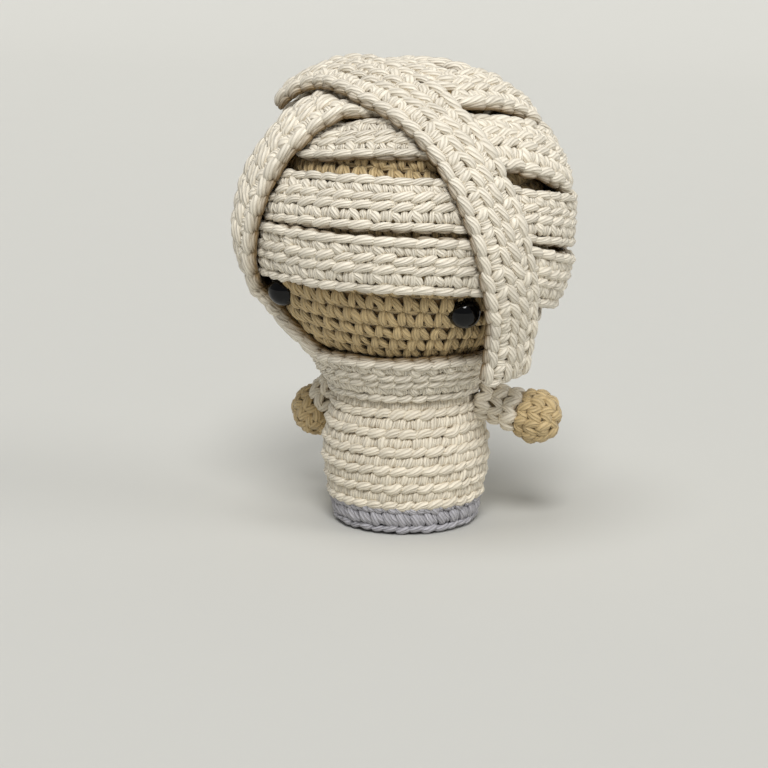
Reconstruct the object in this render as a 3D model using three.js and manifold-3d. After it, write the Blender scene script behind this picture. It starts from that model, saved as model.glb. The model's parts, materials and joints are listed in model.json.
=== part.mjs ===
// Crochet mummy doll: a stuffed head wrapped in crocheted bandage strips on a small stuffed body.
// Millimetres, +Z up. The origin is the centre of the flat underside and the doll faces -Y.
// Directions on the head are given as azimuth from the face towards the doll's left, and latitude.
import * as THREE from 'three';
import { mergeVertices } from 'three/addons/utils/BufferGeometryUtils.js';
import Module from 'manifold-3d';

// Clearances between pieces.
const seamGap = 0.3;
const layGap = 0.6;

// Body: a barrel of crochet fabric that narrows to the neck.
const bodyHeight = 43;
const footRadius = 18.4;
const bellyRadius = 21.4;
const bellyHeight = 19;
const shoulderRadius = 18.2;
const shoulderDrop = 8;
const shoulderHeight = bodyHeight - shoulderDrop;
const neckRadius = 14.5;
const bodyWall = 3;

// Base: two rows of another yarn round a flat crocheted floor, with a stiff disc in it.
const baseHeight = 8.6;
const baseFloor = 3;
const baseEdgeRounding = 1.6;
const discThickness = 1.2;

// Head: a ball of crochet fabric, sewn to the neck.
const skinRadius = 36;
const skinHalfHeight = 35.5;
const skinWall = 3;
const seamYarnRadius = 0.6;
// The head is sewn on a little askew: it leans this far to the doll's left, as seen from this azimuth.
const headLean = 3.3;
const headLeanAzimuth = 18;

// Safety eyes: a glossy dome with a stem through the fabric and a washer behind it.
const eyeRadius = 4;
const eyeDomeHeight = 3.4;
const eyeStemRadius = 1.5;
const eyeStemLength = 8;
const leftEyeAzimuth = 45.5;
const rightEyeAzimuth = -48.5;
const eyeLatitude = -22.8;
const washerRadius = 4.5;
const washerThickness = 1.4;
const washerClearance = 0.2;

// Arms: a cream sleeve and a hand, hinged where they are sewn to the shoulder.
const armRootDrop = 11.5;
const armRootHeight = bodyHeight - armRootDrop;
const armLength = 11.25;
const handRadius = 6.3;
const sleeveRadius = 5.4;
const armRootRadius = 3.7;
const armWall = 2.2;
const leftArmAzimuth = 95;
const leftArmDroop = 15;
const rightArmAzimuth = -114;
const rightArmDroop = 44;

// Bandages: flat crocheted strips laid round the head in two layers.
const bandWidth = 13.2;
const upperBandWidth = 11.5;
const wideStripWidth = 15.5;
const sideStripWidth = 17;
const stripThickness = 3.6;
const stripStep = 7;

// Scarf strip round the neck, under the chin. Its top stands off the chin, over the strip ends there.
const scarfDrop = 6.8;
const scarfRise = 3.1;
const scarfEase = 3.4;
const scarfBottomHeight = bodyHeight - scarfDrop;
const scarfTopHeight = bodyHeight + scarfRise;
const scarfThickness = 3.6;
const scarfHemThickness = 2.2;

// Mesh fineness.
const roundSides = 30;
const smallSides = 12;
const headRings = 14;
const innerRings = 11;
const profileSteps = 8;

// Yarn colours.
const creamYarn = new THREE.MeshStandardMaterial({ color: 0xeee6d6, roughness: 0.85, metalness: 0 });
const bandageYarn = new THREE.MeshStandardMaterial({ color: 0xe6dccb, roughness: 0.8, metalness: 0 });
const skinYarn = new THREE.MeshStandardMaterial({ color: 0xb5996a, roughness: 0.85, metalness: 0 });
const greyYarn = new THREE.MeshStandardMaterial({ color: 0xb8b8c1, roughness: 0.85, metalness: 0 });
const fibreFill = new THREE.MeshStandardMaterial({ color: 0xf4f4f2, roughness: 0.95, metalness: 0 });
const eyePlastic = new THREE.MeshStandardMaterial({ color: 0x070707, roughness: 0.1, metalness: 0 });
const clearPlastic = new THREE.MeshStandardMaterial({ color: 0xd8dadb, roughness: 0.4, metalness: 0 });

const radians = THREE.MathUtils.degToRad;
const doll = new THREE.Group();
const wasm = await Module();
wasm.setup();

// Half height of the head ball above or below its middle, at a distance from the axis.
function ballHeightAt(radius) {
  return skinHalfHeight * Math.sqrt(1 - (radius / skinRadius) ** 2);
}

const headCentreHeight = bodyHeight + seamGap + ballHeightAt(neckRadius);
const headCentre = new THREE.Vector3(0, 0, headCentreHeight);

// Radius of the head ball at a height above the ground.
function ballRadiusAt(height) {
  return skinRadius * Math.sqrt(1 - ((height - headCentreHeight) / skinHalfHeight) ** 2);
}

// Outline of the body from the foot to the neck, a smooth curve through its named widths.
const bodyCurve = new THREE.SplineCurve([
  new THREE.Vector2(footRadius, 0),
  new THREE.Vector2(bellyRadius, bellyHeight),
  new THREE.Vector2(shoulderRadius, shoulderHeight),
  new THREE.Vector2(neckRadius, bodyHeight),
]);
const bodyOutline = bodyCurve.getPoints(200);

function bodyRadiusAt(height) {
  const above = bodyOutline.findIndex((point) => point.y >= height);
  if (above <= 0) return above === 0 ? footRadius : neckRadius;
  const low = bodyOutline[above - 1];
  const high = bodyOutline[above];
  return low.x + (high.x - low.x) * (height - low.y) / (high.y - low.y);
}

// Points of the body outline between two heights, set in by the given distance.
function bodyProfile(fromHeight, toHeight, inset, steps = profileSteps) {
  const points = [];
  for (let i = 0; i <= steps; i += 1) {
    const height = fromHeight + (toHeight - fromHeight) * i / steps;
    points.push(new THREE.Vector2(bodyRadiusAt(height) - inset, height));
  }
  return points;
}

function closed(points) {
  return [...points, points[0].clone()];
}

function axisPoint(height) {
  return new THREE.Vector2(0, height);
}

// A lathe about +Z.
function turned(points, sides = roundSides) {
  return new THREE.LatheGeometry(points, sides).rotateX(Math.PI / 2);
}

function toSolid(geometry) {
  const bare = geometry.index ? geometry.clone() : geometry;
  bare.deleteAttribute('normal');
  bare.deleteAttribute('uv');
  const merged = mergeVertices(bare, 1e-4);
  const mesh = new wasm.Mesh({
    numProp: 3,
    vertProperties: new Float32Array(merged.attributes.position.array),
    triVerts: new Uint32Array(merged.index.array),
  });
  return new wasm.Manifold(mesh);
}

function toGeometry(solid) {
  const mesh = solid.getMesh();
  const geometry = new THREE.BufferGeometry();
  geometry.setAttribute('position', new THREE.BufferAttribute(new Float32Array(mesh.vertProperties), 3));
  geometry.setIndex(new THREE.BufferAttribute(new Uint32Array(mesh.triVerts), 1));
  return geometry;
}

// A cut can leave slivers behind: the piece is the largest solid of what is left.
function largest(solid) {
  const pieces = solid.decompose();
  return pieces.reduce((best, piece) => (piece.volume() > best.volume() ? piece : best));
}

function add(name, geometry, material, parent = doll) {
  const mesh = new THREE.Mesh(geometry, material);
  mesh.name = name;
  parent.add(mesh);
  return mesh;
}

// The base cup and its stiffening disc.
function makeBase() {
  const flatRadius = footRadius - baseEdgeRounding;
  const cup = [
    axisPoint(0),
    new THREE.Vector2(flatRadius, 0),
    ...bodyProfile(baseEdgeRounding, baseHeight, 0, 3),
    ...bodyProfile(baseHeight, baseFloor, bodyWall, 2),
    axisPoint(baseFloor),
  ];
  add('base_cup', turned(cup), greyYarn);
  const discBottom = baseFloor + seamGap;
  const discRadius = bodyRadiusAt(discBottom) - bodyWall - seamGap;
  const disc = [
    axisPoint(discBottom),
    new THREE.Vector2(discRadius, discBottom),
    new THREE.Vector2(discRadius, discBottom + discThickness),
    axisPoint(discBottom + discThickness),
  ];
  add('base_stiffener_disc', turned(disc), clearPlastic);
}

// The cream body tube, whose neck rim follows the underside of the head, and its filling.
function makeBody() {
  const tubeBottom = baseHeight + seamGap;
  const rimRadius = neckRadius - bodyWall;
  const rimHeight = headCentreHeight - ballHeightAt(rimRadius) - seamGap;
  const inner = bodyProfile(shoulderHeight + bodyWall, tubeBottom, bodyWall, 5);
  const tube = [...bodyProfile(tubeBottom, bodyHeight, 0), new THREE.Vector2(rimRadius, rimHeight), ...inner];
  add('body_tube', turned(closed(tube)), creamYarn);

  const fillBottom = baseFloor + discThickness + 2 * seamGap;
  const fillShoulder = shoulderHeight + bodyWall - seamGap;
  const fillRadius = rimRadius - seamGap;
  const fill = [
    axisPoint(fillBottom),
    ...bodyProfile(fillBottom, fillShoulder, bodyWall + layGap, 5),
    new THREE.Vector2(fillRadius, rimHeight - seamGap),
    axisPoint(rimHeight - seamGap),
  ];
  add('body_stuffing', turned(fill), fibreFill);

  const seam = new THREE.TorusGeometry(neckRadius + 2 * seamYarnRadius + seamGap, seamYarnRadius, 5, roundSides);
  seam.translate(0, 0, bodyHeight - seamYarnRadius / 2);
  add('neck_seam_yarn', seam, creamYarn);
}

// Points of the head ball's outline, from below to the top, set in from its skin.
function ballProfile(inset, openingRadius, steps) {
  const radius = skinRadius - inset;
  const halfHeight = skinHalfHeight - inset;
  const start = -Math.acos(openingRadius / radius);
  const points = [];
  for (let i = 0; i < steps; i += 1) {
    const angle = start + (Math.PI / 2 - start) * i / steps;
    points.push(new THREE.Vector2(radius * Math.cos(angle), headCentreHeight + halfHeight * Math.sin(angle)));
  }
  points.push(axisPoint(headCentreHeight + halfHeight));
  return points;
}

const leanAxis = new THREE.Vector3(
  Math.sin(radians(headLeanAzimuth)),
  -Math.cos(radians(headLeanAzimuth)),
  0,
);

// The way out from the head's middle at an azimuth and a latitude of the leaning head.
function headWay(azimuth, latitude) {
  const way = new THREE.Vector3(Math.sin(radians(azimuth)), -Math.cos(radians(azimuth)), 0);
  way.multiplyScalar(Math.cos(radians(latitude))).setZ(Math.sin(radians(latitude)));
  return way.applyAxisAngle(leanAxis, -radians(headLean));
}

// The point in a direction from the head's middle, at a height above its skin.
function onHead(way, lift = 0) {
  const reach = new THREE.Vector3(skinRadius + lift, skinRadius + lift, skinHalfHeight + lift);
  return way.clone().multiply(reach).add(headCentre);
}

// The way out of the head's surface at a point.
function outOfHead(point) {
  const way = point.clone().sub(headCentre);
  way.divide(new THREE.Vector3(skinRadius ** 2, skinRadius ** 2, skinHalfHeight ** 2));
  return way.normalize();
}

// Turns a shape made along +Z so that it stands on the head, and moves it there.
function standOnHead(geometry, azimuth, latitude) {
  const point = onHead(headWay(azimuth, latitude));
  const turn = new THREE.Quaternion().setFromUnitVectors(new THREE.Vector3(0, 0, 1), outOfHead(point));
  return geometry.applyQuaternion(turn).translate(point.x, point.y, point.z);
}

function rod(radius, bottom, top, sides = smallSides) {
  return turned([
    axisPoint(bottom),
    new THREE.Vector2(radius, bottom),
    new THREE.Vector2(radius, top),
    axisPoint(top),
  ], sides);
}

// The eye's dome stands just off the skin, on a stem that ends inside the head.
function eyeGeometry() {
  const seat = seamGap;
  const points = [axisPoint(-eyeStemLength), new THREE.Vector2(eyeStemRadius, -eyeStemLength)];
  points.push(new THREE.Vector2(eyeStemRadius, seat), new THREE.Vector2(eyeRadius, seat));
  const domeSteps = 5;
  for (let i = 1; i < domeSteps; i += 1) {
    const angle = Math.PI / 2 * i / domeSteps;
    points.push(new THREE.Vector2(eyeRadius * Math.cos(angle), seat + eyeDomeHeight * Math.sin(angle)));
  }
  points.push(axisPoint(seat + eyeDomeHeight));
  return turned(points, smallSides);
}

// The washer grips the stem against the inside of the fabric, where its rim meets the curve first.
const washerRise = washerRadius ** 2 / (2 * (skinRadius - skinWall));
const washerTop = -skinWall - washerRise - layGap;

function washerGeometry() {
  const bore = eyeStemRadius + washerClearance;
  return turned(closed([
    new THREE.Vector2(bore, washerTop - washerThickness),
    new THREE.Vector2(washerRadius, washerTop - washerThickness),
    new THREE.Vector2(washerRadius, washerTop),
    new THREE.Vector2(bore, washerTop),
  ]), smallSides);
}

const eyeSides = [['left', leftEyeAzimuth], ['right', rightEyeAzimuth]];

// The head's skin and filling, with holes for the stems and room for the washers.
function makeHead() {
  const openingRadius = neckRadius - bodyWall;
  const outer = ballProfile(0, openingRadius, headRings);
  const inner = ballProfile(skinWall, openingRadius, innerRings).reverse();
  let skin = toSolid(turned(closed([...outer, ...inner])));
  const fillInset = skinWall + seamGap;
  const fill = ballProfile(fillInset, openingRadius - seamGap, innerRings);
  let filling = toSolid(turned([axisPoint(fill[0].y), ...fill]));
  for (const [side, azimuth] of eyeSides) {
    const hole = rod(eyeStemRadius + washerClearance, -eyeStemLength, eyeRadius);
    skin = skin.subtract(toSolid(standOnHead(hole, azimuth, eyeLatitude)));
    const stemRoom = rod(eyeStemRadius + seamGap, -eyeStemLength - seamGap, 0);
    const washerRoom = rod(washerRadius + seamGap, washerTop - washerThickness - seamGap, 0);
    filling = filling.subtract(toSolid(standOnHead(stemRoom, azimuth, eyeLatitude)));
    filling = filling.subtract(toSolid(standOnHead(washerRoom, azimuth, eyeLatitude)));
    add(`${side}_eye`, standOnHead(eyeGeometry(), azimuth, eyeLatitude), eyePlastic);
    add(`${side}_eye_washer`, standOnHead(washerGeometry(), azimuth, eyeLatitude), clearPlastic);
  }
  add('head_skin', toGeometry(skin), skinYarn);
  add('head_stuffing', toGeometry(largest(filling)), fibreFill);
}

// Heights above the skin of the first and second layers of bandage.
const layerHeights = [layGap, 2 * layGap + stripThickness];

// A bandage strip. Its route is a list of azimuth, latitude and layer (1 or 2, or between them on a
// slope), joined by one smooth curve over the head. Its section is flat with rounded edges, bowed as
// the head is. grow makes the fatter copy that cuts room for this strip in the strips under it.
function strip(route, width, grow = 0) {
  const passed = route.map(([azimuth, latitude]) => headWay(azimuth, latitude));
  const ways = new THREE.CatmullRomCurve3(passed, false, 'centripetal');
  const steps = Math.max(4, Math.ceil(ways.getLength() * skinRadius / stripStep));
  const rise = layerHeights[1] - layerHeights[0];
  const line = [];
  for (let i = 0; i <= steps; i += 1) {
    const along = i / steps;
    const place = along * (route.length - 1);
    const before = Math.min(Math.floor(place), route.length - 2);
    const layer = THREE.MathUtils.lerp(route[before][2], route[before + 1][2], place - before);
    const lift = layerHeights[0] + rise * (layer - 1);
    line.push(onHead(ways.getPoint(along).normalize(), lift));
  }

  const half = width / 2 + grow;
  const bottom = -grow;
  const top = stripThickness + grow;
  const edge = stripThickness * 0.5 + grow;
  const section = [
    [-half, bottom], [-half, edge], [-half * 0.8, top], [0, top],
    [half * 0.8, top], [half, edge], [half, bottom], [0, bottom],
  ];
  const positions = [];
  const indices = [];
  const count = section.length;
  line.forEach((point, i) => {
    const ahead = line[Math.min(i + 1, steps)].clone().sub(line[Math.max(i - 1, 0)]).normalize();
    const sideways = ahead.clone().cross(outOfHead(point)).normalize();
    const outwards = sideways.clone().cross(ahead).normalize();
    const overrun = i === 0 ? -grow : (i === steps ? grow : 0);
    for (const [x, y] of section) {
      const bowed = y - x * x / (2 * skinRadius);
      const corner = point.clone().addScaledVector(ahead, overrun);
      corner.addScaledVector(sideways, x).addScaledVector(outwards, bowed);
      positions.push(corner.x, corner.y, corner.z);
    }
  });
  for (let i = 0; i < steps; i += 1) {
    for (let j = 0; j < count; j += 1) {
      const a = i * count + j;
      const b = i * count + (j + 1) % count;
      indices.push(a, b, a + count, b, b + count, a + count);
    }
  }
  const last = steps * count;
  for (let j = 1; j < count - 1; j += 1) {
    indices.push(0, j + 1, j, last, last + j, last + j + 1);
  }
  const geometry = new THREE.BufferGeometry();
  geometry.setAttribute('position', new THREE.BufferAttribute(new Float32Array(positions), 3));
  geometry.setIndex(indices);
  return geometry;
}

// The strips. Each is cut clear of the ones before it in the list.
const stripRoutes = [
  {
    name: 'brow_band',
    width: bandWidth,
    route: [
      [-176, -8, 1], [-140, -8, 1], [-100, -8, 1], [-60, -7, 1], [-40, -5.2, 1], [-20, -4, 1], [0, -3.2, 1],
      [20, -3, 1], [42, -3.5, 1], [64, -7.5, 1], [82, -13, 1.7], [104, -17, 1.9], [128, -14.5, 1.4],
      [150, -11, 1], [176, -8, 1],
    ],
  },
  {
    name: 'forehead_band',
    width: bandWidth,
    route: [
      [-176, 16, 1], [-140, 15, 1], [-100, 13.5, 1], [-60, 13.5, 1], [-40, 15.2, 1], [-20, 17.2, 1],
      [0, 18.3, 1], [20, 19, 1], [42, 18.6, 1], [64, 14.8, 1], [82, 10.3, 1.6], [104, 6.4, 1.8],
      [128, 9, 1.3], [150, 13, 1], [176, 16, 1],
    ],
  },
  {
    name: 'diagonal_strip',
    width: wideStripWidth,
    route: [
      [-87, 44, 2.9], [-62, 64.5, 2.9], [0, 63.2, 2.35], [26, 51.4, 2.2], [39, 35.6, 2.05], [46, 20, 2],
      [51, 5, 2], [56, -9, 2], [61, -19, 2], [65, -30, 2.1], [67, -39, 2.8], [68, -44, 3.3],
    ],
  },
  {
    name: 'right_side_strip',
    width: sideStripWidth,
    route: [
      [-2, 68, 1], [-28, 63, 1.2], [-42, 50, 1.9], [-48.5, 36, 2], [-52.5, 22, 2], [-56, 7, 2],
      [-60, -7, 2], [-69, -20, 1.5], [-72, -31, 1.1], [-71, -42, 1], [-67, -50, 1], [-64, -58, 1],
    ],
  },
  {
    name: 'crown_front_strip',
    width: wideStripWidth,
    route: [
      [-98, 42, 2], [-90, 62, 1.95], [0, 80, 1.8], [50, 68.3, 1.85], [74, 65.5, 1.95], [96, 60.5, 2],
      [114, 49, 2],
    ],
  },
  {
    name: 'crown_middle_strip',
    width: wideStripWidth,
    route: [
      [-120, 36, 2], [-120, 58, 2], [180, 76, 2], [122, 62, 2], [126, 46, 2], [132, 32, 2],
    ],
  },
  {
    name: 'crown_rear_strip',
    width: wideStripWidth,
    route: [
      [-138, 26, 2], [-146, 42, 2], [-180, 54, 2], [-214, 44, 2], [-222, 26, 2],
    ],
  },
  {
    name: 'back_wrap_strip',
    width: sideStripWidth,
    route: [
      [46, 45.5, 1], [64, 43, 1.3], [82, 37, 1.8], [104, 27.5, 2], [128, 18, 2], [152, 9, 2], [176, 0, 2],
      [200, -9, 2], [224, -17, 2], [248, -24, 2], [268, -28, 2],
    ],
  },
  {
    name: 'upper_band',
    width: upperBandWidth,
    route: [
      [30, 46.5, 1], [14, 45.8, 1], [-13, 43.3, 1], [-38, 39.6, 1], [-80, 38.5, 1], [-120, 39, 1],
      [-160, 40, 1], [-200, 40, 1], [-240, 40, 1], [-268, 40, 1],
    ],
  },
  {
    name: 'crown_under_strip',
    width: bandWidth,
    route: [[-90, 60, 1], [-90, 75, 1], [90, 88, 1], [90, 73, 1], [90, 58, 1]],
  },
  {
    name: 'nape_upper_band',
    width: bandWidth,
    route: [
      [80, -38, 1], [104, -38, 1.3], [130, -34, 1], [160, -30, 1], [180, -29, 1], [214, -29, 1],
      [248, -29, 1], [277, -28, 1],
    ],
  },
  {
    name: 'nape_lower_band',
    width: bandWidth,
    route: [
      [88, -49, 1], [112, -49, 1], [146, -47, 1], [180, -46, 1], [214, -46, 1], [248, -46, 1],
      [272, -45, 1],
    ],
  },
];

// The scarf's section, from the body's shoulder to the chin, or the fatter one that cuts room for it.
function scarfGeometry(grow = 0) {
  const hemRadius = bodyRadiusAt(scarfBottomHeight) + layGap - grow;
  const chinRadius = ballRadiusAt(scarfTopHeight) + layGap + scarfEase - grow;
  return turned(closed([
    new THREE.Vector2(hemRadius, scarfBottomHeight - grow),
    new THREE.Vector2(hemRadius + scarfHemThickness + 2 * grow, scarfBottomHeight - grow),
    new THREE.Vector2(chinRadius + scarfThickness + 2 * grow, scarfTopHeight - scarfThickness / 2),
    new THREE.Vector2(chinRadius + scarfThickness / 2 + grow, scarfTopHeight + grow),
    new THREE.Vector2(chinRadius, scarfTopHeight + grow),
  ]));
}

function makeBandages() {
  add('chin_scarf', scarfGeometry(), bandageYarn);
  const rooms = [toSolid(scarfGeometry(seamGap))];
  for (const { name, width, route } of stripRoutes) {
    const solid = rooms.reduce((left, room) => left.subtract(room), toSolid(strip(route, width)));
    rooms.push(toSolid(strip(route, width, seamGap)));
    add(name, toGeometry(largest(solid)), bandageYarn);
  }
}

// One arm, made along +X from the shoulder hinge, then drooped and turned to its side.
function makeArm(side, azimuth, droop) {
  const sleeveEnd = armLength - handRadius * 0.86;
  const arm = new THREE.Group();
  const bore = sleeveRadius - armWall;
  const handBore = handRadius - armWall;
  const alongX = (points) => turned(points, smallSides).rotateY(Math.PI / 2);

  const sleeve = [
    axisPoint(-armRootRadius),
    new THREE.Vector2(armRootRadius * 0.7, -armRootRadius * 0.71),
    new THREE.Vector2(armRootRadius, 0),
    new THREE.Vector2(sleeveRadius * 0.86, armRootRadius * 0.5),
    new THREE.Vector2(sleeveRadius, armRootRadius * 1.1),
    new THREE.Vector2(sleeveRadius * 0.94, sleeveEnd),
    new THREE.Vector2(bore, sleeveEnd),
    new THREE.Vector2(bore, armRootRadius * 0.7),
    axisPoint(armRootRadius * 0.4),
  ];
  add(`${side}_sleeve`, alongX(sleeve), creamYarn, arm);

  const hand = [];
  const handInside = [];
  const handSteps = 6;
  const wristAngle = Math.asin((bore + seamGap) / handRadius);
  const wristAngleInside = Math.asin(Math.min(0.95, bore / handBore));
  for (let i = 0; i <= handSteps; i += 1) {
    const angle = wristAngle + (Math.PI - wristAngle) * i / handSteps;
    const angleInside = wristAngleInside + (Math.PI - wristAngleInside) * i / handSteps;
    const along = armLength - handRadius * Math.cos(angle);
    const alongInside = armLength - handBore * Math.cos(angleInside);
    hand.push(new THREE.Vector2(i === handSteps ? 0 : handRadius * Math.sin(angle), along));
    handInside.push(new THREE.Vector2(i === handSteps ? 0 : handBore * Math.sin(angleInside), alongInside));
  }
  const wristGap = sleeveEnd + seamGap;
  for (const point of hand) point.y = Math.max(point.y, wristGap);
  add(`${side}_hand`, alongX(closed([...hand, ...handInside.reverse()])), skinYarn, arm);

  const tuft = [
    axisPoint(armRootRadius),
    new THREE.Vector2(bore - seamGap, armRootRadius),
    new THREE.Vector2(bore - seamGap, armLength),
    new THREE.Vector2((bore - seamGap) * 0.6, armLength + handBore * 0.7),
    axisPoint(armLength + handBore * 0.8),
  ];
  add(`${side}_arm_stuffing`, alongX(tuft), fibreFill, arm);

  const rootRadius = bodyRadiusAt(armRootHeight) + armRootRadius + seamGap;
  const turn = radians(azimuth - 90);
  arm.position.set(rootRadius * Math.sin(radians(azimuth)), -rootRadius * Math.cos(radians(azimuth)), armRootHeight);
  arm.rotation.set(0, radians(droop), turn, 'ZYX');
  doll.add(arm);
}

makeBase();
makeBody();
makeHead();
makeBandages();
makeArm('left', leftArmAzimuth, leftArmDroop);
makeArm('right', rightArmAzimuth, rightArmDroop);

export default doll;
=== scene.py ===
"""Dresses a crochet mummy doll: its strips, limbs and shells are laid out in yarn, stitch by stitch.

Sizes are in millimetres, as a maker measures them, and a mesh is written in metres. A place on the head
is an azimuth from the face (-Y) towards the doll's left (+X) and a latitude, both in degrees.
"""

import json
import logging
from dataclasses import dataclass, field
from enum import Enum

import bpy
import numpy as np
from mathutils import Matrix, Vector


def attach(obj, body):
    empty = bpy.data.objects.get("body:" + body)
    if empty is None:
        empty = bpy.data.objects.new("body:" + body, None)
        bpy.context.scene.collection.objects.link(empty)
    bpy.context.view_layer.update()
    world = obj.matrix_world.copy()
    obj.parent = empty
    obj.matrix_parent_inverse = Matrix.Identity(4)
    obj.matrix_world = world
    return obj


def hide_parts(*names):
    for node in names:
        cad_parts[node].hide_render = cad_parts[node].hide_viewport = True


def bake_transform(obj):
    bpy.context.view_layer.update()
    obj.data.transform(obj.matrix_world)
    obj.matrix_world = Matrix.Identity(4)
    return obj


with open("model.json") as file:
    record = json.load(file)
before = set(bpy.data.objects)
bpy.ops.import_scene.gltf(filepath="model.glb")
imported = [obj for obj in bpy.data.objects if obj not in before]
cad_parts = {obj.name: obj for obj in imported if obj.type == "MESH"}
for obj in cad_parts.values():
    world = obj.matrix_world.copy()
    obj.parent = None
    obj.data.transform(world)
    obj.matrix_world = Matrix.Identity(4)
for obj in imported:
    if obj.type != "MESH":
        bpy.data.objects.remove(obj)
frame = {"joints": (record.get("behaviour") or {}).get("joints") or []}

Array = np.ndarray
# Metres in a millimetre, a full turn, and a length that counts as none.
MM = 0.001
TURN = 2 * np.pi
NOTHING = 1e-9
# How many steps go round a large shell, a large filling, and an arm or an eye.
SHELL_SIDES = 72
FILLING_SIDES = 48
SMALL_SIDES = 40
# The middle of the underside, and the doll's own ways.
FOOT = np.zeros(3)
FACE = np.array([0.0, -1.0, 0.0])
LEFT = np.array([1.0, 0.0, 0.0])
UP = np.array([0.0, 0.0, 1.0])

logging.basicConfig(level=logging.INFO, format="%(message)s")
log = logging.getLogger("doll")


class Slot(Enum):
    """The record's material slots."""

    CREAM = "cream_yarn"
    BANDAGE = "bandage_yarn"
    TAN = "tan_yarn"
    GREY = "grey_yarn"
    FILL = "fibre_fill"
    EYE = "eye_plastic"
    CLEAR = "clear_plastic"


class Body(Enum):
    """The bodies that pieces ride on."""

    TORSO = "torso"
    HEAD = "head"
    LEFT_ARM = "left_arm"
    RIGHT_ARM = "right_arm"


# Finishes


def linear(colour: tuple[float, float, float]) -> tuple[float, float, float, float]:
    """A colour of 0 to 255 a channel as the linear colour that a shader takes.

    Args:
        colour: red, green and blue as they show on a screen.

    Returns:
        Linear red, green, blue and alpha.
    """
    c = np.array(colour) / 255
    low, high = c / 12.92, ((c + 0.055) / 1.055) ** 2.4
    return (*(float(x) for x in np.where(c <= 0.04045, low, high)), 1.0)


class Board:
    """A material's node board, with short calls that place nodes and wire them."""

    def __init__(self, name: str) -> None:
        """Starts a material with an empty board.

        Args:
            name: the material's name.
        """
        self.material = bpy.data.materials.new(name)
        self.material.use_nodes = True
        self.tree = self.material.node_tree
        self.tree.nodes.clear()

    def node(self, kind: str, **settings: object) -> bpy.types.Node:
        """Places a node.

        Args:
            kind: the node's type.
            settings: its properties.

        Returns:
            The node.
        """
        made = self.tree.nodes.new(kind)
        for key, value in settings.items():
            setattr(made, key, value)
        return made

    def feed(self, socket: bpy.types.NodeSocket, value: object) -> None:
        """Wires another socket into this one, or sets its plain value.

        Args:
            socket: the socket that takes the value.
            value: a socket or a plain value.
        """
        if isinstance(value, bpy.types.NodeSocket):
            self.tree.links.new(value, socket)
        else:
            socket.default_value = value

    def math(self, operation: str, *values: object) -> bpy.types.NodeSocket:
        """The result of a sum on sockets and plain numbers.

        Args:
            operation: what to do with them.
            values: the sockets and numbers, in order.

        Returns:
            The result's socket.
        """
        made = self.node("ShaderNodeMath", operation=operation)
        for socket, value in zip(made.inputs, values):
            self.feed(socket, value)
        return made.outputs[0]

    def mix(self, share: object, first: object, second: object, way: str = "MIX") -> bpy.types.NodeSocket:
        """A colour between two.

        Args:
            share: how much of the second, from 0 to 1.
            first: a colour or a socket.
            second: a colour or a socket.
            way: how the two are put together.

        Returns:
            The mixed colour's socket.
        """
        made = self.node("ShaderNodeMix", data_type="RGBA", blend_type=way)
        self.feed(made.inputs[0], share)
        self.feed(made.inputs[6], first)
        self.feed(made.inputs[7], second)
        return made.outputs[2]

    def weigh(self, first: object, second: object, share: float) -> bpy.types.NodeSocket:
        """The first value times one less a share, plus the second times the share.

        Args:
            first: a number or a socket.
            second: a number or a socket.
            share: how much of the second.

        Returns:
            The sum's socket.
        """
        return self.math("ADD", self.math("MULTIPLY", first, 1 - share), self.math("MULTIPLY", second, share))

    def noise(self, place: bpy.types.NodeSocket, scale: float, detail: float = 2.0) -> bpy.types.NodeSocket:
        """A noise between 0 and 1 at a place.

        Args:
            place: the place's socket.
            scale: how many lumps it has in one unit of length.
            detail: how many finer noises are added to it.

        Returns:
            The noise's socket.
        """
        made = self.node("ShaderNodeTexNoise")
        self.feed(made.inputs["Vector"], place)
        made.inputs["Scale"].default_value = scale
        made.inputs["Detail"].default_value = detail
        return made.outputs[0]

    def bump(self, height: bpy.types.NodeSocket, depth: float, strength: float) -> bpy.types.NodeSocket:
        """A normal that follows a small relief.

        Args:
            height: the relief, from 0 to 1.
            depth: how deep its full step is, in metres.
            strength: how much of it shows, from 0 to 1.

        Returns:
            The normal's socket.
        """
        made = self.node("ShaderNodeBump")
        made.inputs["Strength"].default_value = strength
        made.inputs["Distance"].default_value = depth
        self.feed(made.inputs["Height"], height)
        return made.outputs[0]

    def shade(self, **sockets: object) -> bpy.types.Material:
        """Ends the board in a surface with these shader values.

        Args:
            sockets: values or sockets by the shader's input name, with _ for a space.

        Returns:
            The finished material.
        """
        shader = self.node("ShaderNodeBsdfPrincipled")
        for key, value in sockets.items():
            self.feed(shader.inputs[key.replace("_", " ")], value)
        output = self.node("ShaderNodeOutputMaterial")
        self.feed(output.inputs[0], shader.outputs[0])
        return self.material


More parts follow.
